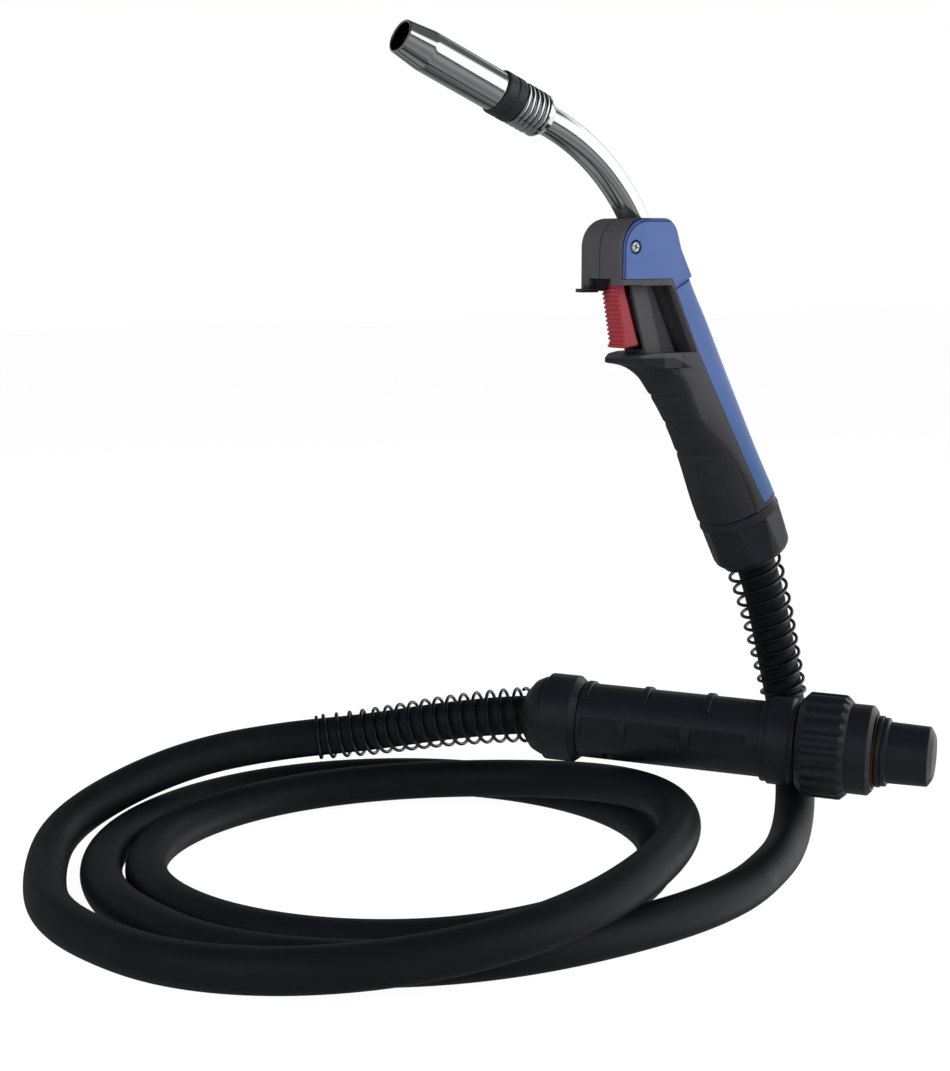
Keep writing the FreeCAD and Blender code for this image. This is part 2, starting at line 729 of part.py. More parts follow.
def guard():
    """Beak under the trigger that stops the forefinger."""
    x, z = GUARD_TIP
    blade = slab([(x, z - 1.2, 0.5), (x, z + 0.6, 0.5), (x + 7.5, z + 2.0, 6.0), (x + 16, SHELF), (x + 30, SHELF),
                  (x + 30, GUARD_UNDER), (x + 20.5, GUARD_UNDER, 3.0), (x + 10, z - 2.6, 8.0)], 20)
    plan = prism([(x, -3.0, 2.8), (x + 9, -12.2, 6.0), (x + 20, -15.9), (x + 34, -15.9), (x + 34, 15.9), (x + 20, 15.9),
                  (x + 9, 12.2, 6.0), (x, 3.0, 2.8)], flat, 0, 60)
    return blade.common(plan)


def trunk():
    """Narrow body behind the trigger, with a raised face and a sunk pocket on each side."""
    far = 60
    half = [(RIM_FRONT - 2.0, TRUNK_HALF), (RIM_FRONT, POCKET_FLOOR_BACK), (FACE_STEP - 1.2, POCKET_FLOOR_FRONT),
            (FACE_STEP, TRUNK_HALF, 0.5), (TRUNK_FRONT_TOP - 2.0, TRUNK_HALF, 0.5), (far, TRUNK_HALF - 1.2)]
    section = half + [(c[0], -c[1]) + tuple(c[2:]) for c in reversed(half)]
    column = on_handle(prism(section, across, 10, 110))
    back = RIM_FRONT - 2.0
    bounds = slab([(rim_x(back, SHELF - 1), SHELF - 1), (rim_x(back, RIM_TOP + 1), RIM_TOP + 1),
                   (rim_x(TRUNK_FRONT_TOP, RIM_TOP + 1), RIM_TOP + 1), (rim_x(TRUNK_FRONT_FOOT, SHELF - 1), SHELF - 1)], 20)
    return column.common(bounds)


def lip():
    """Thin visor under the head's front face."""
    tip = HEAD_FRONT - LIP_REACH
    arc = Part.Arc(Vector(HEAD_FRONT - 3.2, -LIP_HALF, 0), Vector(tip, 0, 0), Vector(HEAD_FRONT - 3.2, LIP_HALF, 0)).toShape()
    back = HEAD_FRONT + 3.8
    corners = [Vector(HEAD_FRONT - 3.2, LIP_HALF, 0), Vector(back, LIP_HALF, 0), Vector(back, -LIP_HALF, 0),
               Vector(HEAD_FRONT - 3.2, -LIP_HALF, 0)]
    wire = Part.Wire([arc] + [Part.makeLine(a, b) for a, b in zip(corners, corners[1:])])
    plate = Part.Face(wire).extrude(Vector(0, 0, LIP_THICK + 0.3))
    plate.translate(Vector(0, 0, HEAD_FOOT - LIP_THICK))
    return plate


def handle_core(block, skin):
    """Both black shells in one, before they are parted."""
    window = slab([(rim_x(RIM_FRONT, SHELF), SHELF), (rim_x(RIM_FRONT, 120), 120), (-120, 120), (-120, SHELF)], 40)
    body = skin.cut(window)
    body = body.fuse([block, trunk(), guard(), lip()]).removeSplitter()
    body = body.fuse(on_handle(tube(SPIGOT_NUT_R, 0, ENVELOPE[0][0] - SPIGOT_NUT_LENGTH, ENVELOPE[0][0] + 1)))
    # Skins that other pieces fill
    body = body.cut(blue_region(SEAM).cut(head_core_room()))
    body = body.cut(spine_region(SEAM).cut(envelope(COVER_WALL)))
    body = body.cut(grip_region(0.0).cut(envelope(GRIP_WALL)))
    # Rooms inside
    body = body.cut(neck_hole(FIT))
    grip_foot = ENVELOPE[0][0] - SPIGOT_NUT_LENGTH - 1
    body = body.cut(on_handle(tube(GRIP_BORE_R, 0, grip_foot, GRIP_BORE_END)))
    body = body.cut(on_handle(tube(UPPER_BORE_R, 0, GRIP_BORE_END - 1, NECK_ROOT)))
    channel_half = TRIGGER_HALF + PLAY
    channel = [(rim_x(CHANNEL_BACK, SHELF + 1.5), SHELF + 1.5), (rim_x(CHANNEL_BACK, 78), 78), (HEAD_FRONT + 2.4, 78),
               (HEAD_FRONT + 2.4, HEAD_FOOT - 0.05), (rim_x(60, SHELF), HEAD_FOOT - 0.05), (rim_x(60, SHELF), SHELF + 1.5)]
    body = body.cut(slab(channel, channel_half))
    body = body.cut(drop(HEAD_FRONT - 1, HEAD_FRONT + 3, SLOT_HALF, HEAD_FOOT + 0.3, COVER_FOOT))
    low, high, half = DUCT
    body = body.cut(on_handle(Part.makeBox(high - low, 2 * half, SWITCH_FOOT - LEAD_END, Vector(-high, -half, LEAD_END))))
    # Screw, its recesses and the trigger's pin
    body = body.cut(screw_line(SCREW_R + FIT, -HEAD_HALF - 1, HEAD_HALF + 1))
    body = body.cut(screw_line(SCREW_RECESS_R, -HEAD_HALF - 1, -HEAD_HALF + SCREW_RECESS_DEPTH))
    body = body.cut(screw_nut_pocket())
    return body.cut(pin(PIN_R + FIT, PIN_LENGTH + 2 * FIT))


def pin(radius, length):
    return Part.makeCylinder(radius, length, Vector(PIVOT[0], -length / 2, PIVOT[1]), Vector(0, 1, 0))


def half_space(sign):
    return Part.makeBox(300, 60, 300, Vector(-150, 0 if sign > 0 else -60, -150))


def front_grip(skin):
    return skin.cut(envelope(GRIP_WALL)).common(grip_region(-SEAM)).cut(guard())


def spine_cover(skin):
    return skin.cut(envelope(COVER_WALL)).common(spine_region())


def head_screw():
    y = -HEAD_HALF + SCREW_RECESS_DEPTH
    head = screw_line(SCREW_HEAD_R, y - SCREW_HEAD_H, y)
    rim = [e for e in head.Edges if abs(e.CenterOfMass.y - (y - SCREW_HEAD_H)) < 1e-6]
    head = head.makeFillet(0.9, rim)
    shank = screw_line(SCREW_R, y, HEAD_HALF - 0.6)
    body = head.fuse(shank)
    for turn in (0, 90):
        bar = Part.makeBox(3.2, 1.2, 0.7, Vector(-1.6, 0, -0.35))
        bar.rotate(Vector(), Vector(0, 1, 0), turn + 20)
        bar.translate(Vector(SCREW_AT[0], y - SCREW_HEAD_H - 0.1, SCREW_AT[1]))
        body = body.cut(bar)
    return body


def screw_nut():
    body = hexagon(SCREW_NUT_AF, 0, SCREW_NUT_H).cut(tube(SCREW_R + FIT, 0, 0, SCREW_NUT_H))
    body.rotate(Vector(), Vector(1, 0, 0), -90)
    body.translate(Vector(SCREW_AT[0], HEAD_HALF - SCREW_NUT_H - SCREW_NUT_SUNK, SCREW_AT[1]))
    return body


# Trigger and switch

def trigger():
    (x0, z0), (x1, z1) = TRIGGER_TOP, TRIGGER_TOE
    teeth = []
    for i in range(RIDGES):
        for f, out in ((0.12, 0.0), (0.5, 1.0), (0.88, 0.0)):
            g = (i + f) / RIDGES
            teeth.append((x0 + (x1 - x0) * g - RIDGE_DEPTH * out, z0 + (z1 - z0) * g))
    corners = [(x0, z0)] + teeth + [(x1 - 1.4, z1 - 0.6, 0.4), (x1 - 1.0, z1 - 1.9, 0.5), TRIGGER_HEEL + (1.0,),
                                    TRIGGER_BACK, (PIVOT[0] + HUB_R - 0.6, PIVOT[1]), (PIVOT[0] - HUB_R + 0.6, PIVOT[1])]
    body = slab(corners, TRIGGER_HALF)
    hub = Part.makeCylinder(HUB_R, 2 * TRIGGER_HALF, Vector(PIVOT[0], -TRIGGER_HALF, PIVOT[1]), Vector(0, 1, 0))
    body = body.fuse(hub).removeSplitter()
    slot = drop(PIVOT[0] - 2.9, PIVOT[0] + 12, SPRING_SLOT_HALF, SPRING_SLOT_FOOT, PIVOT[1] + HUB_R + 1)
    return body.cut(slot).cut(pin(PIN_R + RUN, 3 * TRIGGER_HALF))


def trigger_spring():
    """Torsion spring on the pin: four turns, a leg up behind the head and one down the trigger."""
    wire, turns, wide = 0.7, 4, 3.4
    radius = PIN_R + SEAT + wire / 2

    def point(f):
        a = 2 * math.pi * turns * f
        return Vector(PIVOT[0] + radius * math.cos(a), -wide / 2 + wide * f, PIVOT[1] + radius * math.sin(a))

    count, small = 2 * turns, 1e-4
    pts = [point(i / count) for i in range(count + 1)]
    dirs = [(point(i / count + small) - point(i / count - small)).normalize() for i in range(count + 1)]
    edges = [Part.makeLine(pts[0] - dirs[0] * 6.0, pts[0])]
    for i in range(count):
        edges += biarc(pts[i], dirs[i], pts[i + 1], dirs[i + 1])[0]
    edges.append(Part.makeLine(pts[-1], pts[-1] + dirs[-1] * 3.5))
    return swept(edges, wire / 2)


def microswitch():
    front = CHANNEL_BACK + SWITCH_DEPTH
    body = Part.makeBox(SWITCH_DEPTH, 2 * SWITCH_HALF, SWITCH_LENGTH, Vector(-front, -SWITCH_HALF, SWITCH_FOOT))
    hole = Part.makeCylinder(PLUNGER_R + RUN, PLUNGER_ROOT + SEAT + 1.6, Vector(-front, 0, PLUNGER_AT), Vector(1, 0, 0))
    return on_handle(body.cut(hole))


def switch_plunger():
    back = CHANNEL_BACK + SWITCH_DEPTH - PLUNGER_ROOT + 1.6
    body = Part.makeCylinder(PLUNGER_R, PLUNGER_TIP - back, Vector(-back, 0, PLUNGER_AT), Vector(-1, 0, 0))
    tip = [e for e in body.Edges if abs(e.CenterOfMass.x + PLUNGER_TIP) < 1e-6]
    return on_handle(body.makeFillet(0.5, tip))


def switch_leads():
    pair = [Part.makeCylinder(LEAD_R, SWITCH_FOOT - LEAD_END - FIT, Vector(-LEAD_N, y, LEAD_END)) for y in (-LEAD_Y, LEAD_Y)]
    return on_handle(Part.makeCompound(pair))


# Current path and end nut

def neck_nut():
    start = NECK_ROOT - FIT - NECK_NUT_LENGTH
    body = hexagon(NECK_NUT_AF, start, NECK_ROOT - FIT)
    return on_handle(body.cut(tube(LINER_R + FIT, 0, start, NECK_ROOT)))


def cable_connector():
    start, end = CABLE_START, NECK_ROOT - 2 * FIT - NECK_NUT_LENGTH
    low, high = CONNECTOR_FLANGE
    return on_handle(turned([
        (LINER_R + FIT, start), (CONNECTOR_R, start), (CONNECTOR_R, low), (CONNECTOR_FLANGE_R, low, 0.4),
        (CONNECTOR_FLANGE_R, high, 0.4), (CONNECTOR_R, high), (CONNECTOR_R, CONNECTOR_STEP, 0.5),
        (CONNECTOR_NECK_R, CONNECTOR_STEP), (CONNECTOR_NECK_R, end), (LINER_R + FIT, end),
    ]))


def end_nut():
    foot = NUT_BACK - NUT_LENGTH
    thread = NUT_BACK - SPIGOT_NUT_LENGTH - SEAT
    bore = CABLE_D / 2 + 0.5
    body = turned([
        (SPIGOT_NUT_R + RUN, NUT_BACK), (NUT_TOP_R - 0.9, NUT_BACK), (NUT_TOP_R, NUT_BACK - 0.9),
        (NUT_FOOT_R, foot, 4.0), (bore, foot, 0.6), (bore, thread), (SPIGOT_NUT_R + RUN, thread),
    ])
    for i in range(NUT_LOBES):
        flat_box = Part.makeBox(4, 30, NUT_LENGTH, Vector(NUT_TOP_R - NUT_FLAT - 0.5, -15, foot - NUT_CHAMFER))
        flat_box.rotate(Vector(0, 0, 0), Vector(0, 0, 1), 360 / NUT_LOBES * (i + 0.5))
        body = body.cut(flat_box)
    return on_handle(body)


# Cable

def gun_points():
    meet, ahead = coil_station(0)
    lead = meet - ahead * COIL_LEAD
    return GUN_ROUTE + [tuple(lead), tuple(meet)]


def plug_points():
    meet, ahead = coil_station(len(COIL) - 1)
    inside = Vector(*PLUG_AT) + PLUG_Z * CABLE_END
    return [tuple(meet), tuple(meet + ahead * COIL_LEAD)] + PLUG_ROUTE + [PLUG_AT, tuple(inside)]


def stretch(name, points):
    edges, radii = run_edges(points)
    body = swept(edges, CABLE_D / 2)
    length = sum(e.Length for e in edges)
    share = body.Volume / (math.pi * CABLE_D ** 2 / 4 * length)
    print(name, "length", round(length), "volume share", round(share, 4), "radii", [round(r) for r in radii])
    return body, edges


def coil():
    edges, radii = [], []
    for k in range(len(COIL) - 1):
        pair, least = biarc(*coil_station(k), *coil_station(k + 1))
        edges += pair
        radii.append(least)
    body = swept(edges, CABLE_D / 2)
    print("cable_coil length", round(sum(e.Length for e in edges)), "least gap", round(least_gap(edges, CABLE_D, 200), 2),
          "radii", [round(r) for r in radii])
    return body, edges


def gun_spring(edges):
    line = Line(edges)
    start = abs(NUT_BACK - NUT_LENGTH - CABLE_START) + SEAT + SPRING_WIRE / 2
    body, rods = helix(line, start, GUN_SPRING_LENGTH, GUN_SPRING_R, GUN_SPRING_TURNS, SPRING_WIRE)
    print("gun spring gap", round(least_gap(rods, SPRING_WIRE, 50), 2))
    return body


def rear_spring(edges):
    line = Line(edges)
    end = line.length - CABLE_END - SEAT - SPRING_WIRE / 2
    body, rods = helix(line, end - REAR_SPRING_LENGTH, REAR_SPRING_LENGTH, REAR_SPRING_R, REAR_SPRING_TURNS, SPRING_WIRE)
    print("rear spring gap", round(least_gap(rods, SPRING_WIRE, 50), 2))
    return body


# Plug

def rear_collar():
    low, high = COLLAR_RING
    bore = CABLE_D / 2 + 0.4
    socket = HOUSING_NECK_R + RUN
    return on_plug(turned([
        (bore, 0), (COLLAR_SMALL_R, 0, 0.4), (COLLAR_BELL_R - 2.2, 4.0, 4.0), (COLLAR_BELL_R, low - 2.2, 2.0),
        (COLLAR_BELL_R, low), (COLLAR_RING_R, low, 1.0), (COLLAR_RING_R, high, 1.2), (HOUSING_R + 0.4, COLLAR_LENGTH, 0.4),
        (socket, COLLAR_LENGTH), (socket, COLLAR_FLOOR), (bore, COLLAR_FLOOR),
    ]))


def cable_crimp():
    start = CABLE_END + FIT
    return on_plug(turned([
        (LINER_R, start), (CRIMP_R, start, 0.3), (CRIMP_R, start + CRIMP_LENGTH, 0.8), (STEM_R, start + CRIMP_LENGTH),
        (STEM_R, BODY_START - FIT), (LINER_R, BODY_START - FIT),
    ]))


def housing():
    """Both plug housing shells in one, with pads on top, recesses on the sides and screw bosses."""
    sides = [(HOUSING_BORE, COLLAR_FLOOR + 1.0), (HOUSING_NECK_R, COLLAR_FLOOR + 1.0), (HOUSING_NECK_R, COLLAR_LENGTH + RUN),
             (HOUSING_R, COLLAR_LENGTH + RUN, 0.5), (HOUSING_R, HOUSING_END), (HOUSING_BORE, HOUSING_END)]
    sectors = [sector(sides, low, high) for low, high in zip(HOUSING_SECTORS, HOUSING_SECTORS[1:])]
    body = sectors[0].fuse(sectors[1:])
    for at in PADS:
        pad = [(HOUSING_R - 0.5, at), (HOUSING_R + PAD_HEIGHT, at, 0.7), (HOUSING_R + PAD_HEIGHT, at + PAD_WIDTH, 0.7),
               (HOUSING_R - 0.5, at + PAD_WIDTH)]
        body = body.fuse(sector(pad, 90 - PAD_HALF, 90 + PAD_HALF))
    for low, high in RECESSES:
        for sign in (-1, 1):
            start = HOUSING_R - RECESS_DEPTH if sign > 0 else -HOUSING_R - 3
            panel = Part.makeBox(RECESS_DEPTH + 3, RECESS_TOP - RECESS_FOOT, high - low, Vector(start, RECESS_FOOT, low))
            body = body.cut(panel.makeFillet(1.5, [e for e in panel.Edges if abs(e.tangentAt(e.FirstParameter).x) > 0.9]))
    for x in (-CASE_SCREW_X, CASE_SCREW_X):
        boss = Part.makeCylinder(CASE_BOSS_R, 2 * HOUSING_R, Vector(x, -HOUSING_R, CASE_SCREW_AT), Vector(0, 1, 0))
        body = body.fuse(boss.common(tube(HOUSING_R - RECESS_DEPTH - 0.4, 0, 30, 60)))
        body = body.cut(Part.makeCylinder(CASE_SCREW_R + FIT, 24, Vector(x, -20, CASE_SCREW_AT), Vector(0, 1, 0)))
        body = body.cut(Part.makeCylinder(CASE_SCREW_HEAD_R + FIT, 12, Vector(x, -20, CASE_SCREW_AT), Vector(0, 1, 0)))
    return body


def case_half(body, sign):
    keep = Part.makeBox(60, 30, 200, Vector(-30, 0 if sign > 0 else -30, -10))
    return on_plug(body.common(keep))


def case_screws():
    out = []
    for x in (-CASE_SCREW_X, CASE_SCREW_X):
        head = Part.makeCylinder(CASE_SCREW_HEAD_R, 1.6, Vector(x, -9.6, CASE_SCREW_AT), Vector(0, 1, 0))
        shank = Part.makeCylinder(CASE_SCREW_R, 11.5, Vector(x, -8, CASE_SCREW_AT), Vector(0, 1, 0))
        slot = Part.makeBox(3.4, 0.8, 0.7, Vector(x - 1.7, -9.7, CASE_SCREW_AT - 0.35))
        out.append(head.fuse(shank).cut(slot))
    return on_plug(Part.makeCompound(out))


def housing_flange():
    start, end = HOUSING_END + FIT, HOUSING_END + FLANGE_LENGTH
    step = start + 3.2
    return on_plug(turned([(BODY_R + FIT, start), (FLANGE_STEP_R, start, 0.5), (FLANGE_STEP_R, step), (FLANGE_R, step, 0.4),
                           (FLANGE_R, end - 3.0, 0.6), (FLANGE_STEP_R, end - 1.6), (FLANGE_STEP_R, end, 0.4),
                           (BODY_R + FIT, end)]))


def plug_body():
    low, high = BODY_SHOULDER
    end = FACE - FACE_LENGTH
    return on_plug(turned([
        (LINER_R, BODY_START), (BODY_R, BODY_START, 0.5), (BODY_R, low), (BODY_SHOULDER_R, low, 0.3), (BODY_SHOULDER_R, high, 0.3),
        (BODY_R, high), (BODY_R, end), (PIN_ROOT_R + FIT, end), (PIN_ROOT_R + FIT, end - PIN_ROOT_LENGTH),
        (LINER_R, end - PIN_ROOT_LENGTH),
    ]))


def signal_places():
    return [Vector(SIGNAL_OFF * math.cos(math.radians(a)), SIGNAL_OFF * math.sin(math.radians(a)), 0) for a in (60, 120)]


def plug_face():
    """Insulating face that carries the pins."""
    start, seat = FACE - FACE_LENGTH + FIT, FACE + FACE_RIM
    body = turned([
        (PIN_ROOT_R + FIT, start), (FACE_R, start), (FACE_R, FACE, 0.3), (FACE_R - 0.9, FACE, 0.1), (FACE_R - 0.9, seat, 0.3),
        (CAP_SEAT_R, seat), (CAP_SEAT_R, seat + CAP_SEAT, 0.4), (PIN_ROOT_R + FIT, seat + CAP_SEAT),
    ])
    for p in signal_places():
        body = body.cut(Part.makeCylinder(SIGNAL_R + RUN, 40, p + Vector(0, 0, start)))
    return on_plug(body)


def plug_pin():
    start = FACE - FACE_LENGTH - PIN_ROOT_LENGTH + FIT
    shoulder, end = FACE + FACE_RIM + CAP_SEAT, FACE + FACE_RIM + PIN_MAIN_REACH
    return on_plug(turned([(PIN_MAIN_BORE, start), (PIN_ROOT_R, start), (PIN_ROOT_R, shoulder), (PIN_MAIN_R, shoulder),
                           (PIN_MAIN_R, end, 1.0), (PIN_MAIN_BORE, end)]))


def signal_pin(i):
    end = FACE + FACE_RIM + SIGNAL_REACH + CAP_SEAT
    body = turned([(0, end - SIGNAL_LENGTH), (SIGNAL_R, end - SIGNAL_LENGTH), (SIGNAL_R, end, 0.8), (0, end)])
    body.translate(signal_places()[i])
    return on_plug(body)


def adaptor_nut():
    step, end = NUT_START + NUT_RIBBED, NUT_START + NUT_RIBBED + NUT_SMOOTH
    lip_r = BODY_R + 0.4
    body = turned([
        (lip_r, NUT_START), (NUT_RIB_R - 1.6, NUT_START), (NUT_RIB_R, NUT_START + 1.6), (NUT_RIB_R, step - 1.8),
        (NUT_RIB_R - 1.8, step), (NUT_SMOOTH_R, step), (NUT_SMOOTH_R, end - 1.4), (NUT_SMOOTH_R - 1.4, end),
        (NUT_BORE, end), (NUT_BORE, NUT_START + NUT_LIP), (lip_r, NUT_START + NUT_LIP),
    ])
    pitch = 2 * math.pi * NUT_RIB_R / NUT_RIBS
    groove = Part.makeCylinder(pitch * 0.28, NUT_RIBBED - 1.0, Vector(NUT_RIB_R + pitch * 0.28 - NUT_RIB_DEPTH, 0, NUT_START - 1))
    cuts = []
    for i in range(NUT_RIBS):
        g = groove.copy()
        g.rotate(Vector(), Vector(0, 0, 1), 360 / NUT_RIBS * i)
        cuts.append(g)
    return on_plug(body.cut(cuts))


def nut_insert():
    end = NUT_START + NUT_RIBBED + NUT_SMOOTH
    low = BODY_SHOULDER[1] + SEAT
    return on_plug(turned([
        (INSERT_BORE, low), (NUT_BORE - FIT, low), (NUT_BORE - FIT, end + 0.6, 0.3), (INSERT_BORE, end + 0.6, 0.3),
    ]))


def protective_cap():
    start = FACE + 2.4 + SEAT
    end = start + CAP_LENGTH
    bore = CAP_SEAT_R + RUN
    return on_plug(turned([
        (bore, start), (CAP_R, start, 0.3), (CAP_R - 0.4, end, 2.4), (0, end), (0, end - CAP_WALL), (bore, end - CAP_WALL, 1.0),
    ]))


def write(name, shape):
    solids = shape.Solids
    if not shape.isValid() or not solids:
        raise ValueError(name + " is not a valid solid")
    out = solids[0] if len(solids) == 1 else Part.makeCompound(solids)
    out.exportStep("parts/" + name + ".step")
    print(name, len(solids), round(out.Volume))


def main():
    os.makedirs("parts", exist_ok=True)
    write("swan_neck", neck_tube(NECK_R, CONDUCTOR_R + FIT, NECK_ROOT, JACKET_END))
    write("neck_conductor", neck_tube(CONDUCTOR_R, CONDUCTOR_BORE, NECK_ROOT, CONDUCTOR_END))
    write("wire_liner", neck_tube(LINER_R, LINER_BORE, CABLE_START, DIFFUSER_END))
    write("neck_collar", neck_collar())
    write("gas_diffuser", gas_diffuser())
    write("nozzle_spring", nozzle_spring())
    write("insulator_ring", insulator_ring())
    write("gas_nozzle", gas_nozzle())
    write("tip_holder", tip_holder())
    write("contact_tip", contact_tip())

    skin, block = envelope(), head_block()
    core = handle_core(block, skin)
    write("handle_shell_left", core.common(half_space(-1)))
    write("handle_shell_right", core.common(half_space(1)))
    write("head_cover", head_cover(block))
    write("spine_cover", spine_cover(skin))
    write("front_grip", front_grip(skin))
    write("head_screw", head_screw())
    write("head_screw_nut", screw_nut())

    write("trigger", trigger())
    write("trigger_pin", pin(PIN_R, PIN_LENGTH))
    write("trigger_spring", trigger_spring())
    write("microswitch", microswitch())
    write("switch_plunger", switch_plunger())
    write("switch_leads", switch_leads())
    write("neck_nut", neck_nut())
    write("cable_connector", cable_connector())
    write("end_nut", end_nut())

    gun, gun_edges = stretch("cable_gun_stretch", gun_points())
    write("cable_gun_stretch", gun)
    write("cable_coil", coil()[0])
    plug, plug_edges = stretch("cable_plug_stretch", plug_points())
    write("cable_plug_stretch", plug)
    write("gun_spring", gun_spring(gun_edges))
    write("rear_spring", rear_spring(plug_edges))

    write("rear_collar", rear_collar())
    write("cable_crimp", cable_crimp())
    case = housing()
    write("housing_upper", case_half(case, 1))
    write("housing_lower", case_half(case, -1))
    write("case_screws", case_screws())
    write("housing_flange", housing_flange())
    write("plug_body", plug_body())
    write("plug_face", plug_face())
    write("plug_pin", plug_pin())
    write("signal_pin_a", signal_pin(0))
    write("signal_pin_b", signal_pin(1))
    write("adaptor_nut", adaptor_nut())
    write("nut_insert", nut_insert())
    write("protective_cap", protective_cap())


main()
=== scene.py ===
"""Looks of a MIG welding torch: gun with its swan neck, coiled cable and central-adaptor plug.

Lengths in the tables and formulas are millimetres in the piece's own frame; a Place turns them into metres of
the row frame. The meshes are grids of points worked out as whole arrays.
"""

import math

import bmesh
import bpy
import numpy as np
from bpy.props import FloatProperty, FloatVectorProperty, IntProperty, PointerProperty
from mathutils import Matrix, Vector


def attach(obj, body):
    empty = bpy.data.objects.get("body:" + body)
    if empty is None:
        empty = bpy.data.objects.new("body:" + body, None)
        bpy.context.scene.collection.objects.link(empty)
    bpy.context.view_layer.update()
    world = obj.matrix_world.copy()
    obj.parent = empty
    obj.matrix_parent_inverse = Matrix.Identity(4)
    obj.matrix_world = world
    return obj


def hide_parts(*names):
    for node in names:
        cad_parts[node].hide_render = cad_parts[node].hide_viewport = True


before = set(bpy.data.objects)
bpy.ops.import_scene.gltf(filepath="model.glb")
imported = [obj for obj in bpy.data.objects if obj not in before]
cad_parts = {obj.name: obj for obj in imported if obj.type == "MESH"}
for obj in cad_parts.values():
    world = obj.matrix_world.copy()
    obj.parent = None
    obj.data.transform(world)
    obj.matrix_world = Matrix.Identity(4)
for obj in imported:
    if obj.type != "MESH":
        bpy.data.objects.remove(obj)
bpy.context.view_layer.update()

bl_info = {
    "name": "MIG Welding Torch",
    "version": (1, 0, 0),
    "blender": (4, 5, 0),
    "location": "View3D > Sidebar > Torch",
    "description": "Builds the visible pieces of a MIG welding torch over its packed model",
    "category": "Object",
}

MM = 0.001
TAU = 2 * math.pi


# Frames of the pieces

def unit(v):
    v = np.asarray(v, float)
    return v / np.linalg.norm(v, axis=-1, keepdims=True)


class Place:
    """A piece's own frame: turns its millimetres into metres of the row frame."""

    def __init__(self, origin, x, z):
        z = unit(z)
        x = unit(np.asarray(x, float) - z * np.dot(x, z))
        self.origin = np.asarray(origin, float)
        self.axes = np.stack([x, np.cross(z, x), z])

    def __call__(self, points):
        return (np.asarray(points, float) @ self.axes + self.origin) * MM


LEAN = math.radians(25)
NECK_BEND = math.radians(41.8)
NECK_BEND_R = 100.0
NECK_STRAIGHT = 98.0
PLUG_Z = (0.6222, -0.7822, -0.0312)
GUN = Place((0, 0, 0), (1, 0, 0), (0, 0, 1))
HANDLE = Place((0, 0, 0), (math.cos(LEAN), 0, math.sin(LEAN)), (-math.sin(LEAN), 0, math.cos(LEAN)))
PLUG = Place((-54.06, 69.73, -145.6), (0.7822, 0.6222, 0), PLUG_Z)


def neck_end():
    """Where the neck's bend ends: worked out in the handle's own X and Z, given in the row frame's millimetres."""
    drop = NECK_BEND_R * (1 - math.cos(NECK_BEND))
    return HANDLE(np.array([-drop, 0, NECK_STRAIGHT + NECK_BEND_R * math.sin(NECK_BEND)])) / MM


NOZZLE = Place(neck_end(), (math.cos(LEAN + NECK_BEND), 0, math.sin(LEAN + NECK_BEND)),
               (-math.sin(LEAN + NECK_BEND), 0, math.cos(LEAN + NECK_BEND)))

# Route of the cable, metres: control points of one smooth curve
GUN_ROUTE = [
    (0.0245, 0.0, -0.0526), (0.0355, 0.0, -0.0761), (0.0446, 0.0, -0.1095), (0.0516, -0.0005, -0.137),
    (0.0512, -0.0065, -0.157), (0.0452, -0.017, -0.175), (0.034, -0.029, -0.1885), (0.0175, -0.043, -0.1955),
    (-0.008, -0.063, -0.1955), (-0.053, -0.0895, -0.1955), (-0.1125, -0.1005, -0.1955), (-0.1815, -0.097, -0.1955),
    (-0.2385, -0.0715, -0.1955),
]
PLUG_ROUTE = [
    (-0.2965, 0.1025, -0.1945), (-0.2735, 0.142, -0.188), (-0.2355, 0.1635, -0.1795), (-0.1901, 0.1688, -0.17),
    (-0.1431, 0.1621, -0.1665), (-0.1059, 0.1404, -0.163), (-0.0808, 0.1038, -0.1525),
]
COIL_CENTRE = (-0.1591, 0.0402)
COIL_START = 192.0
# Each quarter turn of the coil: radius, height of the axis over the floor, and how both change per quarter, mm
COIL = np.array([
    (126.0, 9.5, -14.0, 0.0), (137.0, 9.5, 31.0, 0.0), (146.0, 9.5, -24.0, 0.0), (115.5, 9.5, -9.0, 0.0),
    (104.6, 9.5, -6.0, 0.0), (113.5, 10.0, 21.0, 3.0), (130.0, 22.6, 7.0, 31.0), (147.5, 29.7, 24.0, -30.0),
    (153.0, 9.5, -14.0, 0.0),
])
COIL_STEPS = 6          # control points per quarter turn
COIL_LEAD = 0.04
FLOOR = -0.205

# Skin of the grip and spine: along the axis, front and back half depth, half width, squareness
ENVELOPE = np.array([
    (-43.0, 19.0, 18.5, 18.3, 2.3),
    (-30.0, 19.1, 17.8, 17.6, 2.3),
    (-12.0, 18.2, 16.7, 16.8, 2.3),
    (6.0, 18.1, 15.6, 16.5, 2.4),
    (22.0, 20.2, 14.6, 16.3, 2.5),
    (38.0, 23.4, 13.5, 16.1, 2.7),
    (54.0, 24.5, 12.4, 15.9, 2.9),
    (73.0, 25.0, 11.1, 15.6, 3.1),
])
GRIP_SIDE = np.array([
    (-46.0, 2.6), (-30.9, 2.7), (-15.5, 3.3), (-1.7, 7.2), (12.1, 11.6), (24.3, 12.0), (37.8, 14.4), (51.0, 26.7),
])
GRIP_FOOT, GRIP_WALL = -42.7, 2.4
SEAM = 0.12
GUARD_UNDER = 29.6
CREASES = (24.0, 8.0, -8.0)
# Where the grip's top reaches under the guard, from its middle to its side edge: x, y, z
GUARD_RIM = np.array([
    (0.0, -47.0, 0.0, 30.6), (0.3, -48.5, 5.0, 30.7), (0.5, -48.3, 9.5, 30.6), (0.66, -46.5, 12.6, 30.4),
    (0.82, -42.5, 14.0, 29.9), (1.0, -36.0, 14.95, 29.5),
])
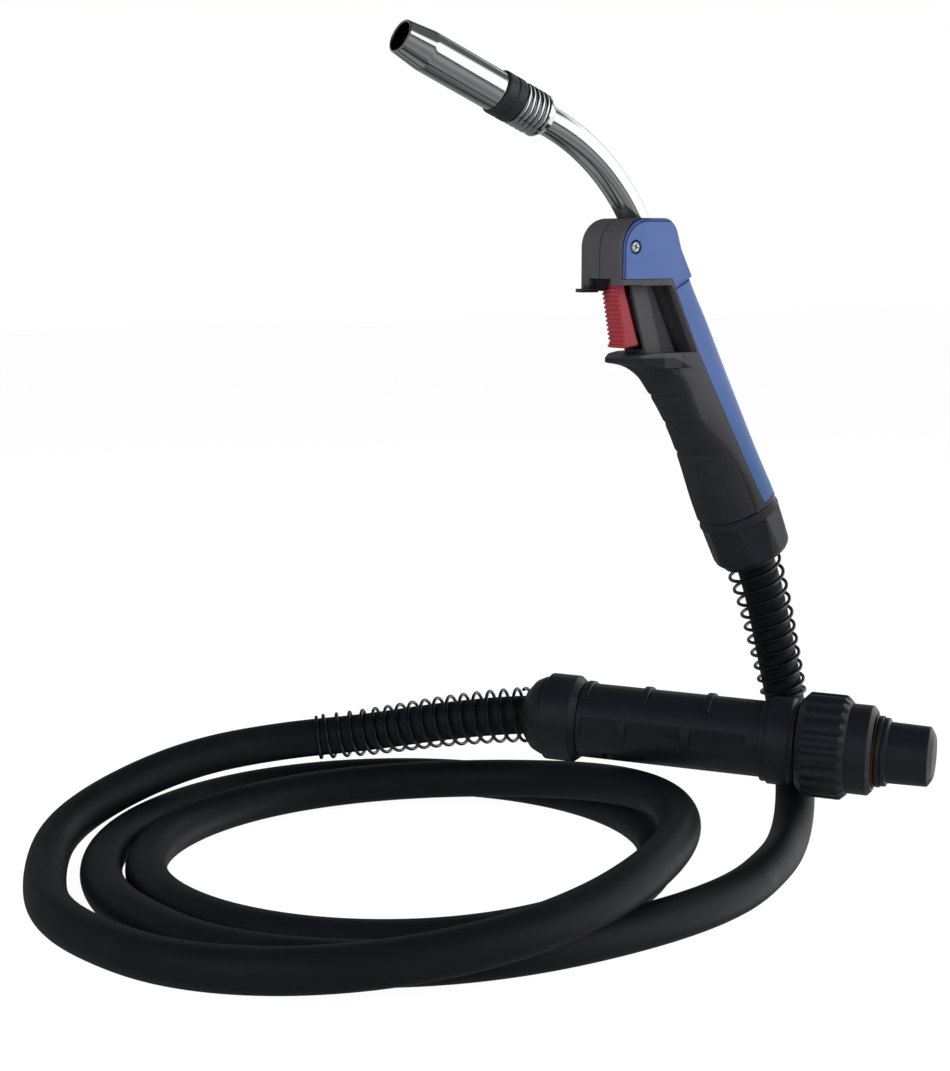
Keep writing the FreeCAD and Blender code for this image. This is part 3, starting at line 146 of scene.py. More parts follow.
# Boxes cut from the near foot of the head and its half of the lip, so that the trigger's top shows there
FOOT_CUTS = (((-75.0, -20.0, 62.9), (-52.0, -6.05, 67.3)), ((-75.0, -7.0, 62.9), (-61.0, 1.0, 65.6)))
# Dark sheet of painted shade inside the head's slot: its outline in y and z, its faces in x and a point that sees all
# its corners
SLOT_SHADE_OUTLINE = ((-8.0, 71.5), (-8.0, 67.4), (-1.0, 67.4), (-1.0, 64.4), (8.2, 64.4), (8.2, 71.5))
SLOT_SHADE_FACES_X = (-62.4, -61.6)
SLOT_SHADE_MIDDLE = (3.6, 69.5)


# Colours

def tone(red, green, blue):
    """Linear colour of a screen tone."""
    c = np.array([red, green, blue]) / 255
    return tuple(np.where(c <= 0.04045, c / 12.92, ((c + 0.055) / 1.055) ** 2.4).tolist())


def length_property(name, description, default):
    return FloatProperty(name=name, description=description, default=default, min=0, unit="LENGTH", precision=5)


class TorchSizes(bpy.types.PropertyGroup):
    """Sizes of the pieces that are drawn here."""
    cable_diameter: length_property("Cable", "Diameter of the cable's sheath", 0.019)
    cable_length: length_property("Cable length", "Length of the cable from the end nut to the plug", 2.6)
    spring_wire: length_property("Spring wire", "Wire of the two kink springs", 0.0017)
    nozzle_radius: length_property("Nozzle", "Outside radius of the gas nozzle", 0.009)
    mouth_radius: length_property("Mouth", "Outside radius at the nozzle's mouth", 0.0074)
    neck_radius: length_property("Neck", "Outside radius of the swan neck", 0.0067)
    crease_depth: length_property("Crease", "Depth of the creases across the soft grip", 0.0008)
    edge: length_property("Edge", "Rounding of moulded edges", 0.0003)
    nut_ribs: IntProperty(name="Ribs", description="Ribs round the clamping nut", default=24, min=8, max=60)


COLOURS = {
    "blue": ("Covers of the head and spine", 68, 92, 145),
    "red": ("Trigger", 134, 46, 52),
    "black": ("Hard plastic of the handle", 60, 60, 64),
    "soft": ("Soft front of the grip", 31, 32, 37),
    "rubber": ("Sheath of the cable", 15, 16, 20),
    "plug": ("Hard plastic of the plug", 21, 22, 27),
    "nut": ("Faceted nut at the grip's foot", 27, 28, 33),
    "insulator": ("Ring behind the nozzle", 32, 33, 36),
    "chrome": ("Plated nozzle and neck", 226, 228, 230),
    "spring": ("Wire of the kink springs", 84, 84, 90),
    "brass": ("Copper alloy pieces", 104, 84, 58),
    "copper": ("Heat-darkened pieces inside the nozzle", 92, 66, 48),
    "steel": ("Screws and pins", 200, 202, 206),
}


class TorchColours(bpy.types.PropertyGroup):
    """Colours of the finishes."""
    __annotations__ = {
        name: FloatVectorProperty(name=name.capitalize(), description=use, default=tone(*rgb), subtype="COLOR",
                                  min=0, max=1)
        for name, (use, *rgb) in COLOURS.items()}


def sizes():
    return bpy.context.scene.torch_sizes


def colours():
    return bpy.context.scene.torch_colours


# Materials

class Wire:
    """One output of a node; arithmetic on it adds Math nodes."""

    def __init__(self, paint, socket):
        self.paint, self.socket = paint, socket

    def math(self, operation, *values):
        return self.paint.node("ShaderNodeMath", {"operation": operation}, dict(enumerate(values)))

    def __add__(self, other):
        return self.math("ADD", self, other)

    def __sub__(self, other):
        return self.math("SUBTRACT", self, other)

    def __rsub__(self, other):
        return self.math("SUBTRACT", other, self)

    def __mul__(self, other):
        return self.math("MULTIPLY", self, other)

    def __pow__(self, other):
        return self.math("POWER", self, other)

    __radd__ = __add__
    __rmul__ = __mul__


class Paint:
    """Node tree of one material, or of the world."""

    def __init__(self, owner):
        owner.use_nodes = True
        self.owner, self.tree = owner, owner.node_tree
        self.tree.nodes.clear()

    def node(self, kind, settings=None, values=None, out=0):
        made = self.tree.nodes.new(kind)
        for name, value in (settings or {}).items():
            if name == "stops":
                ramp = made.color_ramp.elements
                while len(ramp) < len(value):
                    ramp.new(0.5)
                for element, (place, level) in zip(ramp, value):
                    element.position, element.color = place, (level, level, level, 1)
            else:
                setattr(made, name, value)
        for key, value in (values or {}).items():
            if isinstance(value, Wire):
                self.tree.links.new(value.socket, made.inputs[key])
            else:
                made.inputs[key].default_value = value
        return Wire(self, made.outputs[out]) if len(made.outputs) else None

    def place(self, kind="Object"):
        return self.node("ShaderNodeTexCoord", out=kind)

    def stretched(self, scale, kind="Object"):
        return self.node("ShaderNodeMapping", values={"Vector": self.place(kind), "Scale": scale})

    def noise(self, scale, detail=3.0, rough=0.5, vector=None):
        return self.node("ShaderNodeTexNoise", values={
            "Vector": vector or self.place(), "Scale": scale, "Detail": detail, "Roughness": rough})

    def cells(self, scale):
        return self.node("ShaderNodeTexVoronoi", values={"Vector": self.place(), "Scale": scale})

    def ramp(self, value, *stops):
        return self.node("ShaderNodeValToRGB", {"stops": stops}, {"Fac": value})

    def mix(self, factor, first, second):
        return self.node("ShaderNodeMix", {"data_type": "RGBA"}, {0: factor, 6: first, 7: second}, out=2)

    def bump(self, height, distance, normal=None):
        values = {"Height": height, "Distance": distance}
        if normal:
            values["Normal"] = normal
        return self.node("ShaderNodeBump", values=values)

    def surface(self, **values):
        shader = self.node("ShaderNodeBsdfPrincipled", values={k.replace("_", " "): v for k, v in values.items()})
        self.node("ShaderNodeOutputMaterial", values={"Surface": shader})
        return self.owner


def shade(colour, factor):
    """The same colour, lighter or darker."""
    return tuple(min(1.0, c * factor) for c in colour[:3]) + (1.0,)


def new_paint(name):
    return Paint(bpy.data.materials.new(name))


def marks(p):
    """Soft flow marks, and where hands have rubbed the plastic."""
    return p.noise(38.0, 4.0, 0.6), p.ramp(p.noise(120.0, 5.0, 0.65), (0.42, 0.0), (0.72, 1.0))


def plastic(p, tint, rough, flow, wear, normal, gloss=0.4):
    """Moulded surface, rougher in its flow marks and where it is rubbed."""
    return p.surface(Base_Color=tint, Roughness=rough + 0.12 * flow + 0.06 * wear, Normal=normal,
                     Specular_IOR_Level=gloss)


def eroded(p, grain=2600.0, depth=0.00002):
    """Fine grain of a mould's eroded wall."""
    return p.bump(p.noise(grain, 2.0, 0.6), depth)


def moulded(name, colour, rough, grain=2600.0, depth=0.00002, spread=0.16, gloss=0.4):
    """Moulded plastic in one colour."""
    p = new_paint(name)
    flow, wear = marks(p)
    tint = p.mix(flow, shade(colour, 1 - spread), shade(colour, 1 + spread))
    tint = p.mix(wear * 0.16, tint, shade(colour, 1.55))
    return plastic(p, tint, rough - 0.07, flow, wear, eroded(p, grain, depth), gloss)


def place_axes(p, kind="Object"):
    return [p.node("ShaderNodeSeparateXYZ", values={0: p.place(kind)}, out=k) for k in range(3)]


def shell():
    """Hard plastic of the handle, with painted shade towards its foot and inside the window, the guard's side painted
    in the soft grip's colour darkened by painted shade, and the line between its halves.

    Its ramps run over tenths of a metre. front leans with the trunk: x + 0.29 z from its lit facet.
    """
    p = new_paint("black_moulding")
    c = colours().black
    x, y, z = place_axes(p)
    across = y.math("ABSOLUTE", y)
    flow, wear = marks(p)
    tint = p.mix(flow, shade(c, 0.88), shade(c, 1.14))
    tint = p.mix(wear * 0.14, tint, shade(c, 1.5))
    # Painted shade: the shell grows darker towards its foot.
    low = p.ramp(z * 10.0 + 0.5, (0.22, 1.0), (0.66, 0.0))
    tint = p.mix(low * 0.95, tint, shade(c, 0.2))
    front = x * 10.0 + z * 2.9 + 0.5
    # Painted shade: the inside of the window, near the middle, is darkened.
    window_shade = p.ramp(front, (0.166, 1.0), (0.17, 0.0), (0.251, 0.0), (0.257, 1.0))
    window_shade = window_shade * p.ramp(across * 10.0, (0.118, 1.0), (0.124, 0.0))
    window_shade = window_shade * p.ramp(z * 10.0, (0.334, 0.0), (0.338, 1.0), (0.668, 1.0), (0.674, 0.0))
    tint = p.mix(window_shade * 0.95, tint, shade(c, 0.35))
    # The guard's side below its top edge takes the soft grip's colour, darkened as painted shade.
    guard_soft_and_shade = p.ramp(x * 10.0 + z * 21.0 + 0.312, (0.695, 1.0), (0.71, 0.0))
    guard_soft_and_shade = guard_soft_and_shade * p.ramp(z * 10.0, (0.292, 0.0), (0.2935, 1.0), (0.34, 1.0), (0.346, 0.0))
    tint = p.mix(guard_soft_and_shade * 0.97, tint, shade(colours().soft, 0.6))
    line = p.ramp(across * 1000.0, (0.16, 1.0), (0.42, 0.0))
    tint = p.mix(line * 0.85, tint, shade(c, 0.12))
    return plastic(p, tint, 0.38, flow, wear, p.bump(1.0 - line, 0.0003, eroded(p)))


def cover():
    """Blue plastic, with painted shade that deepens it down the spine, and a painted shadow with a painted highlight
    line along the head's front border.

    The border is a straight run and a 14 mm arc: its distance is 14 - sqrt(max(xc - x, 0)^2 + max(z - zc, 0)^2).
    """
    p = new_paint("blue_moulding")
    c = colours().blue
    x, _, z = place_axes(p)
    out, up = -0.049 - x, z - 0.083
    out, up = out.math("MAXIMUM", out, 0.0), up.math("MAXIMUM", up, 0.0)
    # Painted shadow along the head's front border: two dark bands with a lighter painted highlight line between them.
    step = p.ramp((0.014 - (out * out + up * up) ** 0.5) * 400.0,
                  (0.1, 0.95), (0.17, 0.15), (0.25, 0.15), (0.31, 0.95), (0.66, 0.95), (0.78, 0.0))
    flow, wear = marks(p)
    tint = p.mix(flow, shade(c, 0.95), shade(c, 1.05))
    # Painted shade: darker and deeper blue down the spine.
    low = p.ramp(z * 10.0 + 0.5, (0.3, 1.0), (0.75, 0.0))
    tint = p.mix(low, tint, (c[0] * 0.3, c[1] * 0.66, c[2] * 0.72, 1.0))
    tint = p.mix(wear * 0.12, tint, shade(c, 1.5))
    tint = p.mix(step, tint, (c[0] * 0.06, c[1] * 0.14, c[2] * 0.3, 1.0))
    return plastic(p, tint, 0.36, flow, wear, eroded(p))


def soft_front():
    """Soft grip: pebbled near-black rubber, lighter in the shell's colour along its upper side edges; u runs across, v
    up it.
    """
    p = new_paint("soft_grip")
    c = colours().soft
    u, v, _ = place_axes(p, "UV")
    off = u - 0.5
    side = p.ramp(off.math("ABSOLUTE", off) * 2.0, (0.62, 0.0), (1.0, 1.0))
    # Along its upper side edges the grip is mixed towards the shell's lighter colour.
    rubbed = side * p.ramp(v, (0.38, 0.0), (0.8, 1.0))
    bloom = p.ramp(p.noise(55.0, 5.0, 0.7), (0.4, 0.0), (0.75, 1.0))
    tint = p.mix(bloom * 0.25, shade(c, 0.9), shade(c, 1.8))
    tint = p.mix(rubbed * 0.8, tint, shade(colours().black, 0.85))
    return p.surface(Base_Color=tint, Roughness=0.55 + 0.1 * bloom, Normal=p.bump(p.cells(1500.0), 0.00006),
                     Specular_IOR_Level=0.35)


def plated(name, colour, rough=0.1):
    """Bright plating: faint smears in its gloss and a hint of the tube's own waviness."""
    p = new_paint(name)
    smear = p.noise(60.0, 6.0, 0.65)
    wave = p.noise(24.0, 2.0, 0.5)
    tint = p.mix(smear, shade(colour, 0.94), shade(colour, 1.0))
    return p.surface(Base_Color=tint, Metallic=1.0, Roughness=rough - 0.03 + 0.08 * smear,
                     Normal=p.bump(wave, 0.00006))


def machined(name, colour, rough=0.28):
    """Turned metal: fine rings of tool marks and a slightly dulled surface."""
    p = new_paint(name)
    dull = p.noise(90.0, 4.0, 0.6)
    marks = p.noise(1600.0, 2.0, 0.5)
    tint = p.mix(dull, shade(colour, 0.82), shade(colour, 1.08))
    return p.surface(Base_Color=tint, Metallic=1.0, Roughness=rough + 0.12 * dull, Normal=p.bump(marks, 0.000004))


def sheath():
    """Cable sheath: extruded rubber with long drag marks, scuffs and dust; u runs along it and v round it."""
    p = new_paint("cable_sheath")
    c = colours().rubber
    long = p.noise(1.0, 4.0, 0.6, p.stretched((8.0, 90.0, 1.0), "UV"))
    fine = p.noise(1.0, 3.0, 0.6, p.stretched((260.0, 700.0, 1.0), "UV"))
    scuff = p.ramp(p.noise(34.0, 6.0, 0.72), (0.5, 0.0), (0.78, 1.0))
    tint = p.mix(long, shade(c, 0.8), shade(c, 1.25))
    tint = p.mix(scuff * 0.35, tint, shade(c, 2.4))
    return p.surface(Base_Color=tint, Roughness=0.42 + 0.14 * long + 0.14 * scuff,
                     Normal=p.bump(long, 0.00005, p.bump(fine, 0.00002)), Specular_IOR_Level=0.22)


FINISHES = {
    "blue_plastic": cover,
    "red_plastic": lambda: moulded("red_moulding", colours().red, 0.42, spread=0.06),
    "black_plastic": shell,
    "plug_plastic": lambda: moulded("plug_moulding", colours().plug, 0.38),
    "switch_plastic": lambda: moulded("switch_moulding", shade(colours().black, 1.4), 0.45),
    "insulator": lambda: moulded("insulator_moulding", colours().insulator, 0.4, 1500.0, 0.00003),
    "soft_black": soft_front,
    "cable_rubber": sheath,
    "polished_metal": lambda: plated("chrome_plate", colours().chrome),
    "spring_steel": lambda: machined("spring_wire", colours().spring, 0.24),
    "copper_alloy": lambda: machined("brass", colours().brass, 0.26),
    "bright_steel": lambda: machined("zinc_plate", colours().steel, 0.24),
    "liner": lambda: machined("liner_wire", shade(colours().steel, 0.6), 0.4),
}
made_finishes = {}


def finish(slot):
    """The material of one of the record's slots."""
    if slot not in made_finishes:
        made_finishes[slot] = FINISHES[slot]()
    return made_finishes[slot]


# Grids of points and the meshes made of them

def grid(points, round_rows=False, round_columns=False):
    """Quads over a grid of points, with its own u across the columns and v along the rows; faces point outwards."""
    rows, columns = points.shape[:2]
    i, j = np.meshgrid(np.arange(rows - (not round_rows)), np.arange(columns - (not round_columns)), indexing="ij")
    i, j = i.ravel(), j.ravel()
    corner = [(i, j), (i, j + 1), (i + 1, j + 1), (i + 1, j)]
    faces = np.stack([(a % rows) * columns + b % columns for a, b in corner], 1)
    uv = np.stack([np.stack([b / columns, a / rows], -1) for a, b in corner], 1)
    return outward(points.reshape(-1, 3), faces, uv)


def outward(points, faces, uv):
    """Turns a closed part's faces round where its signed volume is negative."""
    a, b, c, d = (points[faces[:, k]] - points.mean(0) for k in range(4))
    volume = (np.einsum("ij,ij->i", a, np.cross(b, c)) + np.einsum("ij,ij->i", a, np.cross(c, d))).sum()
    return (points, faces[:, ::-1], uv[:, ::-1]) if volume < 0 else (points, faces, uv)


def walled(outer, inner):
    """Closed patch between two grids of the same size: both sheets and the four strips that join their borders."""
    rows, columns = outer.shape[:2]
    index = np.arange(rows * columns).reshape(rows, columns)
    rim = np.concatenate([index[0, :-1], index[:-1, -1], index[-1, :0:-1], index[:0:-1, 0]])
    ahead = np.roll(rim, -1)
    count = rows * columns
    square = np.stack([index[:-1, :-1], index[:-1, 1:], index[1:, 1:], index[1:, :-1]], -1).reshape(-1, 4)
    strip = np.stack([ahead, rim, rim + count, ahead + count], 1)
    faces = np.concatenate([square, square[:, ::-1] + count, strip])
    u, v = np.meshgrid(np.linspace(0, 1, columns), np.linspace(0, 1, rows))
    flat = np.stack([u.ravel(), v.ravel()], -1)
    flat = np.concatenate([flat, flat])
    return outward(np.concatenate([outer.reshape(-1, 3), inner.reshape(-1, 3)]), faces, flat[faces])


def linked(name, mesh, sharp):
    """Object of a mesh that is smooth but for edges sharper than an angle in degrees."""
    mesh.shade_smooth()
    mesh.set_sharp_from_angle(angle=math.radians(sharp))
    obj = bpy.data.objects.new(name, mesh)
    bpy.context.scene.collection.objects.link(obj)
    return obj


def settled(obj, body, nodes, slot, paint=None):
    """Puts a finished piece on its body, in the place of its CAD nodes, with its finish."""
    obj.data.materials.clear()
    obj.data.materials.append(paint or finish(slot))
    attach(obj, body)
    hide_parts(*nodes)
    return obj


def piece(name, parts, body, nodes, slot, paint=None, sharp=32.0):
    """One object out of closed parts, with doubles at its poles merged and edges sharp by angle."""
    offsets = np.cumsum([0] + [len(p[0]) for p in parts[:-1]])
    points = np.concatenate([p[0] for p in parts])
    faces = np.concatenate([p[1] + o for p, o in zip(parts, offsets)])
    uv = np.concatenate([p[2].reshape(-1, 2) for p in parts])
    mesh = bpy.data.meshes.new(name)
    mesh.from_pydata(points.tolist(), [], faces.tolist())
    mesh.uv_layers.new(name="UVMap").data.foreach_set("uv", uv.astype(np.float32).ravel())
    work = bmesh.new()
    work.from_mesh(mesh)
    bmesh.ops.remove_doubles(work, verts=work.verts, dist=1e-7)
    work.to_mesh(mesh)
    work.free()
    return settled(linked(name, mesh, sharp), body, nodes, slot, paint)


def rounded(corners, steps=6):
    """Closed profile of straight runs whose corners are rounded: corners are across, along and a radius.

    Each arc lies on the circle that touches both runs. A support point on each run beside an arc keeps the run's
    shading flat.
    """
    c = np.array([tuple(p) + (0.0,) * (3 - len(p)) for p in corners], float)
    p, r = c[:, :2], c[:, 2]
    back, ahead = np.roll(p, 1, 0) - p, np.roll(p, -1, 0) - p
    u, w = unit(back), unit(ahead)
    half = np.arccos(np.clip((u * w).sum(1), -1, 1)) / 2
    cut = r / np.tan(half)
    bisector = unit(np.where(np.abs(u + w).sum(1, keepdims=True) > 1e-9, u + w, [[1.0, 0.0]]))
    centre = p + bisector * (r / np.sin(half))[:, None]
    start = p + u * cut[:, None] - centre
    turn = (math.pi - 2 * half) * np.sign(u[:, 0] * w[:, 1] - u[:, 1] * w[:, 0]) * -1
    a = turn[:, None] * np.linspace(0, 1, steps + 1)
    arc = centre[:, None] + np.stack([start[:, None, 0] * np.cos(a) - start[:, None, 1] * np.sin(a),
                                      start[:, None, 0] * np.sin(a) + start[:, None, 1] * np.cos(a)], -1)
    arc = np.where(r[:, None, None] > 0, arc, p[:, None])
    room_back = (np.linalg.norm(back, axis=1) - cut - np.roll(cut, 1)).clip(0)
    room_ahead = (np.linalg.norm(ahead, axis=1) - cut - np.roll(cut, -1)).clip(0)
    before = arc[:, 0] + u * (np.minimum(0.25, room_back / 3) * (r > 0))[:, None]
    after = arc[:, -1] + w * (np.minimum(0.25, room_ahead / 3) * (r > 0))[:, None]
    line = np.concatenate([before[:, None], arc, after[:, None]], 1).reshape(-1, 2)
    return line[np.linalg.norm(line - np.roll(line, 1, 0), axis=1) > 1e-6]


def straight(s):
    """Axis of a turned piece: the point, and the two directions square to it, at each place along it."""
    zero, one = np.zeros_like(s), np.ones_like(s)
    return np.stack([zero, zero, s], -1), np.stack([one, zero, zero], -1), np.stack([zero, one, zero], -1)


def rings(centre, r, a, u, w):
    """Points centre + r (cos a u + sin a w): a ring of the angles a round each centre."""
    return centre[:, None] + r[..., None] * (np.cos(a)[:, None] * u[:, None] + np.sin(a)[:, None] * w[:, None])


def turned(corners, place, steps=96, axis=straight, shape=None):
    """Solid of revolution, straight or bent: a profile point r, s lies at axis(s) + r (cos a U + sin a W).

    shape changes r by the angle a and the place s.
    """
    line = rounded(corners)
    r, s = line[:, 0][:, None], line[:, 1]
    a = np.arange(steps) * (TAU / steps)
    r = shape(r, a[None, :], s[:, None]) if shape else np.broadcast_to(r, (len(s), steps))
    centre, u, w = axis(s)
    return grid(place(rings(centre, r, a, u, w)), True, True)


def run_frames(path, guide):
    """Tangents of a line of points and two directions square to them, the first square to the guide as well."""
    tangent = unit(np.gradient(path, axis=0))
    u = unit(np.cross(tangent, guide))
    return tangent, u, np.cross(tangent, u)


def rod(path, radius, u, w, steps):
    """Round rod along a line of points, P + r (cos a U + sin a W), with ends rounded off to a pole."""
    a = np.arange(steps) * (TAU / steps)
    tangent = np.cross(u, w)
    cap = np.array([0.0, 0.5, 0.85, 1.0])
    lift = 1 - np.sqrt(1 - (1 - cap) ** 2)
    rows = np.concatenate([np.zeros(4, int), np.arange(1, len(path) - 1), np.full(4, len(path) - 1)])
    size = np.concatenate([cap, np.ones(len(path) - 2), cap[::-1]]) * radius
    push = np.concatenate([1 - cap, np.zeros(len(path) - 2), cap[::-1] - 1]) * radius * -0.35
    centre = path[rows] + tangent[rows] * push[:, None]
    return grid(rings(centre, size[:, None], a, u[rows], w[rows]), False, True)


def without_box(mesh, low, high):
    """The mesh less a box, whose two corners are given in the row frame's millimetres."""
    box = bpy.data.meshes.new("cutter")
    corners = [(x, y, z) for x in (low[0], high[0]) for y in (low[1], high[1]) for z in (low[2], high[2])]
    box.from_pydata(GUN(corners).tolist(), [],
                    [(0, 1, 3, 2), (4, 6, 7, 5), (0, 4, 5, 1), (2, 3, 7, 6), (0, 2, 6, 4), (1, 5, 7, 3)])
    pair = [bpy.data.objects.new("cut", m) for m in (mesh, box)]
    for obj in pair:
        bpy.context.scene.collection.objects.link(obj)
    cut = pair[0].modifiers.new("cut", "BOOLEAN")
    cut.object, cut.solver = pair[1], "EXACT"
    graph = bpy.context.evaluated_depsgraph_get()
    left = bpy.data.meshes.new_from_object(pair[0].evaluated_get(graph))
    for obj in pair:
        bpy.data.objects.remove(obj)
    bpy.data.meshes.remove(box)
    return left


def dressed(node, body, slot, edge=None, paint=None, sharp=30.0, cuts=()):
    """Merged copy of a CAD node with rounded edges and smooth curved faces, less the boxes that are given."""
    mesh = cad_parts[node].data.copy()
    work = bmesh.new()
    work.from_mesh(mesh)
    bmesh.ops.remove_doubles(work, verts=work.verts, dist=2e-6)
    bmesh.ops.dissolve_degenerate(work, edges=work.edges, dist=1e-6)
    if edge:
        bmesh.ops.dissolve_limit(work, angle_limit=math.radians(0.6), verts=work.verts, edges=work.edges,
                                 use_dissolve_boundaries=False)
    work.to_mesh(mesh)
    work.free()
    for low, high in cuts:
        mesh = without_box(mesh, low, high)
    obj = linked(node + "_finish", mesh, sharp)
    if edge:
        bevel = obj.modifiers.new("edges", "BEVEL")
        bevel.limit_method, bevel.angle_limit = "ANGLE", math.radians(sharp)
        bevel.width, bevel.segments, bevel.harden_normals = edge, 2, True
        bevel.use_clamp_overlap = True
    return settled(obj, body, [node], slot, paint)


# Cable and springs

def coil_points():
    """Control points of the coil's turns: radius and height follow a cubic between quarter turns.

    They stand half a step off the quarters, and the radius is divided by the cosine of half a step, because the
    curve runs through the middles of the control polygon's sides.
    """
    s = (np.arange((len(COIL) - 1) * COIL_STEPS) + 0.5) / COIL_STEPS
    k = s.astype(int)
    f = (s - k)[:, None]
    low, high = COIL[k], COIL[k + 1]
    value = (low[:, :2] * (1 + 2 * f) * (1 - f) ** 2 + high[:, :2] * f ** 2 * (3 - 2 * f)
             + low[:, 2:] * f * (1 - f) ** 2 - high[:, 2:] * f ** 2 * (1 - f)) * MM
    a = np.radians(COIL_START - 90 * s)
    r = value[:, 0] / math.cos(math.pi / 4 / COIL_STEPS)
    return np.stack([COIL_CENTRE[0] + r * np.cos(a), COIL_CENTRE[1] + r * np.sin(a), FLOOR + value[:, 1]], -1)


def station(k):
    """Place and direction of the coil's axis at quarter turn k."""
    radius, height, swell, climb = COIL[k] * MM
    a = math.radians(COIL_START - 90 * k)
    out, ahead = np.array([math.cos(a), math.sin(a), 0]), np.array([math.sin(a), -math.cos(a), 0])
    quarter = math.pi / 2
    return (np.array([*COIL_CENTRE, FLOOR + height]) + out * radius,
            unit(ahead * radius + out * swell / quarter + np.array([0, 0, climb / quarter])))


def cable_line():
    """Points along the cable, read from one NURBS spline whose control points are the route's."""
    first, last = station(0), station(len(COIL) - 1)
    points = np.concatenate([
        GUN_ROUTE, [first[0] - first[1] * COIL_LEAD], coil_points(), [last[0] + last[1] * COIL_LEAD],
        PLUG_ROUTE, PLUG([(0, 0, 0), (0, 0, 8.8)])])
    curve = bpy.data.curves.new("cable_route", "CURVE")
    curve.dimensions, curve.resolution_u = "3D", 12
    spline = curve.splines.new("NURBS")
    spline.points.add(len(points) - 1)
    spline.points.foreach_set("co", np.column_stack([points, np.ones(len(points))]).ravel())
    spline.order_u, spline.use_endpoint_u = 3, True
    holder = bpy.data.objects.new("cable_route", curve)
    bpy.context.scene.collection.objects.link(holder)
    bpy.context.view_layer.update()
    mesh = bpy.data.meshes.new_from_object(holder)
    path = np.zeros(len(mesh.vertices) * 3, np.float32)
    mesh.vertices.foreach_get("co", path)
    bpy.data.objects.remove(holder)
    bpy.data.meshes.remove(mesh)
    return path.reshape(-1, 3).astype(float)


def spaced(path, places):
    """Points at given distances along a line of points."""
    gone = np.concatenate([[0], np.cumsum(np.linalg.norm(np.diff(path, axis=0), axis=1))])
    return np.stack([np.interp(places, gone, path[:, k]) for k in range(3)], -1)


def line_length(path):
    return float(np.linalg.norm(np.diff(path, axis=0), axis=1).sum())


def smooth_line(path, step):
    """The same line with even steps, eased a little so that its corners don't show in the shading."""
    places = np.linspace(0, line_length(path), int(line_length(path) / step))
    even = spaced(path, places)
    for _ in range(6):
        even[1:-1] = even[1:-1] * 0.5 + (even[:-2] + even[2:]) * 0.25
    return even


def coiled_wire(path, start, length, radii, turns, wire, steps=28, ends=0.9):
    """Wire wound round a line: centre = P(s) + R (cos 2 pi N f U + sin 2 pi N f W).

    It rises more slowly over its first and last turns, which ends counts.
    """
    f = np.linspace(0, 1, int(turns * steps) + 1)
    closed = ends / turns
    ease = lambda x: np.where(x < 1, x * x / 2, x - 0.5)
    rise = ease(f / closed) - ease((f - 1 + closed).clip(0) / closed)
    line = spaced(path, start + length * rise / rise[-1])
    smooth = spaced(path, start + length * f)
    _, u, w = run_frames(smooth, np.array([0.0, 1.0, 0.0]))
    a = (TAU * turns * f)[:, None]
    out = np.cos(a) * u + np.sin(a) * w
    centre = line + out * (radii[0] + (radii[1] - radii[0]) * f)[:, None]
    tangent = unit(np.gradient(centre, axis=0))
    side = unit(out - tangent * (out * tangent).sum(1, keepdims=True))
    return rod(centre, wire / 2, side, np.cross(tangent, side), 12)


class TORCH_OT_cable(bpy.types.Operator):
    """Builds the cable from the end nut through its coil to the plug."""
    bl_idname = "torch.cable"
    bl_label = "Cable"

    def execute(self, context):
        path = smooth_line(cable_line(), 0.003)
        weight = np.clip((path[:, 0] - 0.02) / -0.06, 0, 1)
        after = np.maximum.accumulate(weight)[:, None]
        guide = unit((1 - after) * np.array([0, 1.0, 0]) + after * np.array([0, 0, 1.0]))
        _, u, w = run_frames(path, guide)
        tube = rod(path, sizes().cable_diameter / 2, u, w, 48)
        cable = piece("cable", [tube], "gun", ["cable_gun_stretch", "cable_coil", "cable_plug_stretch"], "cable_rubber")
        return {"FINISHED"}


class TORCH_OT_kink_springs(bpy.types.Operator):
    """Winds the two wire springs that keep the cable from kinking at its ends."""
    bl_idname = "torch.kink_springs"
    bl_label = "Kink springs"

    def execute(self, context):
        path = smooth_line(cable_line(), 0.002)
        wire = sizes().spring_wire
        leaned = path - np.outer(np.interp(np.arange(len(path)) * 0.002, [0.0, 0.08], [0.0019, 0.0]), (1.0, 0.0, 0.0))
        piece("gun_kink_spring", [coiled_wire(leaned, 0.0117 + 0.0003 + wire / 2, 0.074, (0.0133, 0.0105), 11.4, wire)],
              "gun", ["gun_spring"], "spring_steel")
        end = line_length(path) - 0.0088 - 0.0003 - wire / 2
        piece("rear_kink_spring", [coiled_wire(path, end - 0.113, 0.113, (0.0107, 0.0131), 17, wire)],
              "gun", ["rear_spring"], "spring_steel")
        return {"FINISHED"}


# Neck and nozzle

def neck_axis(s):
    """Axis of the neck by its length: straight up the handle, round the bend, and straight on."""
    turn = np.clip((s - NECK_STRAIGHT) / NECK_BEND_R, 0, NECK_BEND)
    beyond = np.clip(s - NECK_STRAIGHT - NECK_BEND_R * NECK_BEND, 0, None)
    x = -NECK_BEND_R * (1 - np.cos(turn)) - math.sin(NECK_BEND) * beyond
    z = np.minimum(s, NECK_STRAIGHT) + NECK_BEND_R * np.sin(turn) + math.cos(NECK_BEND) * beyond
    zero = np.zeros_like(s)
    return (np.stack([x, zero, z], -1), np.stack([np.cos(turn), zero, np.sin(turn)], -1),
            np.stack([zero, zero + 1, zero], -1))


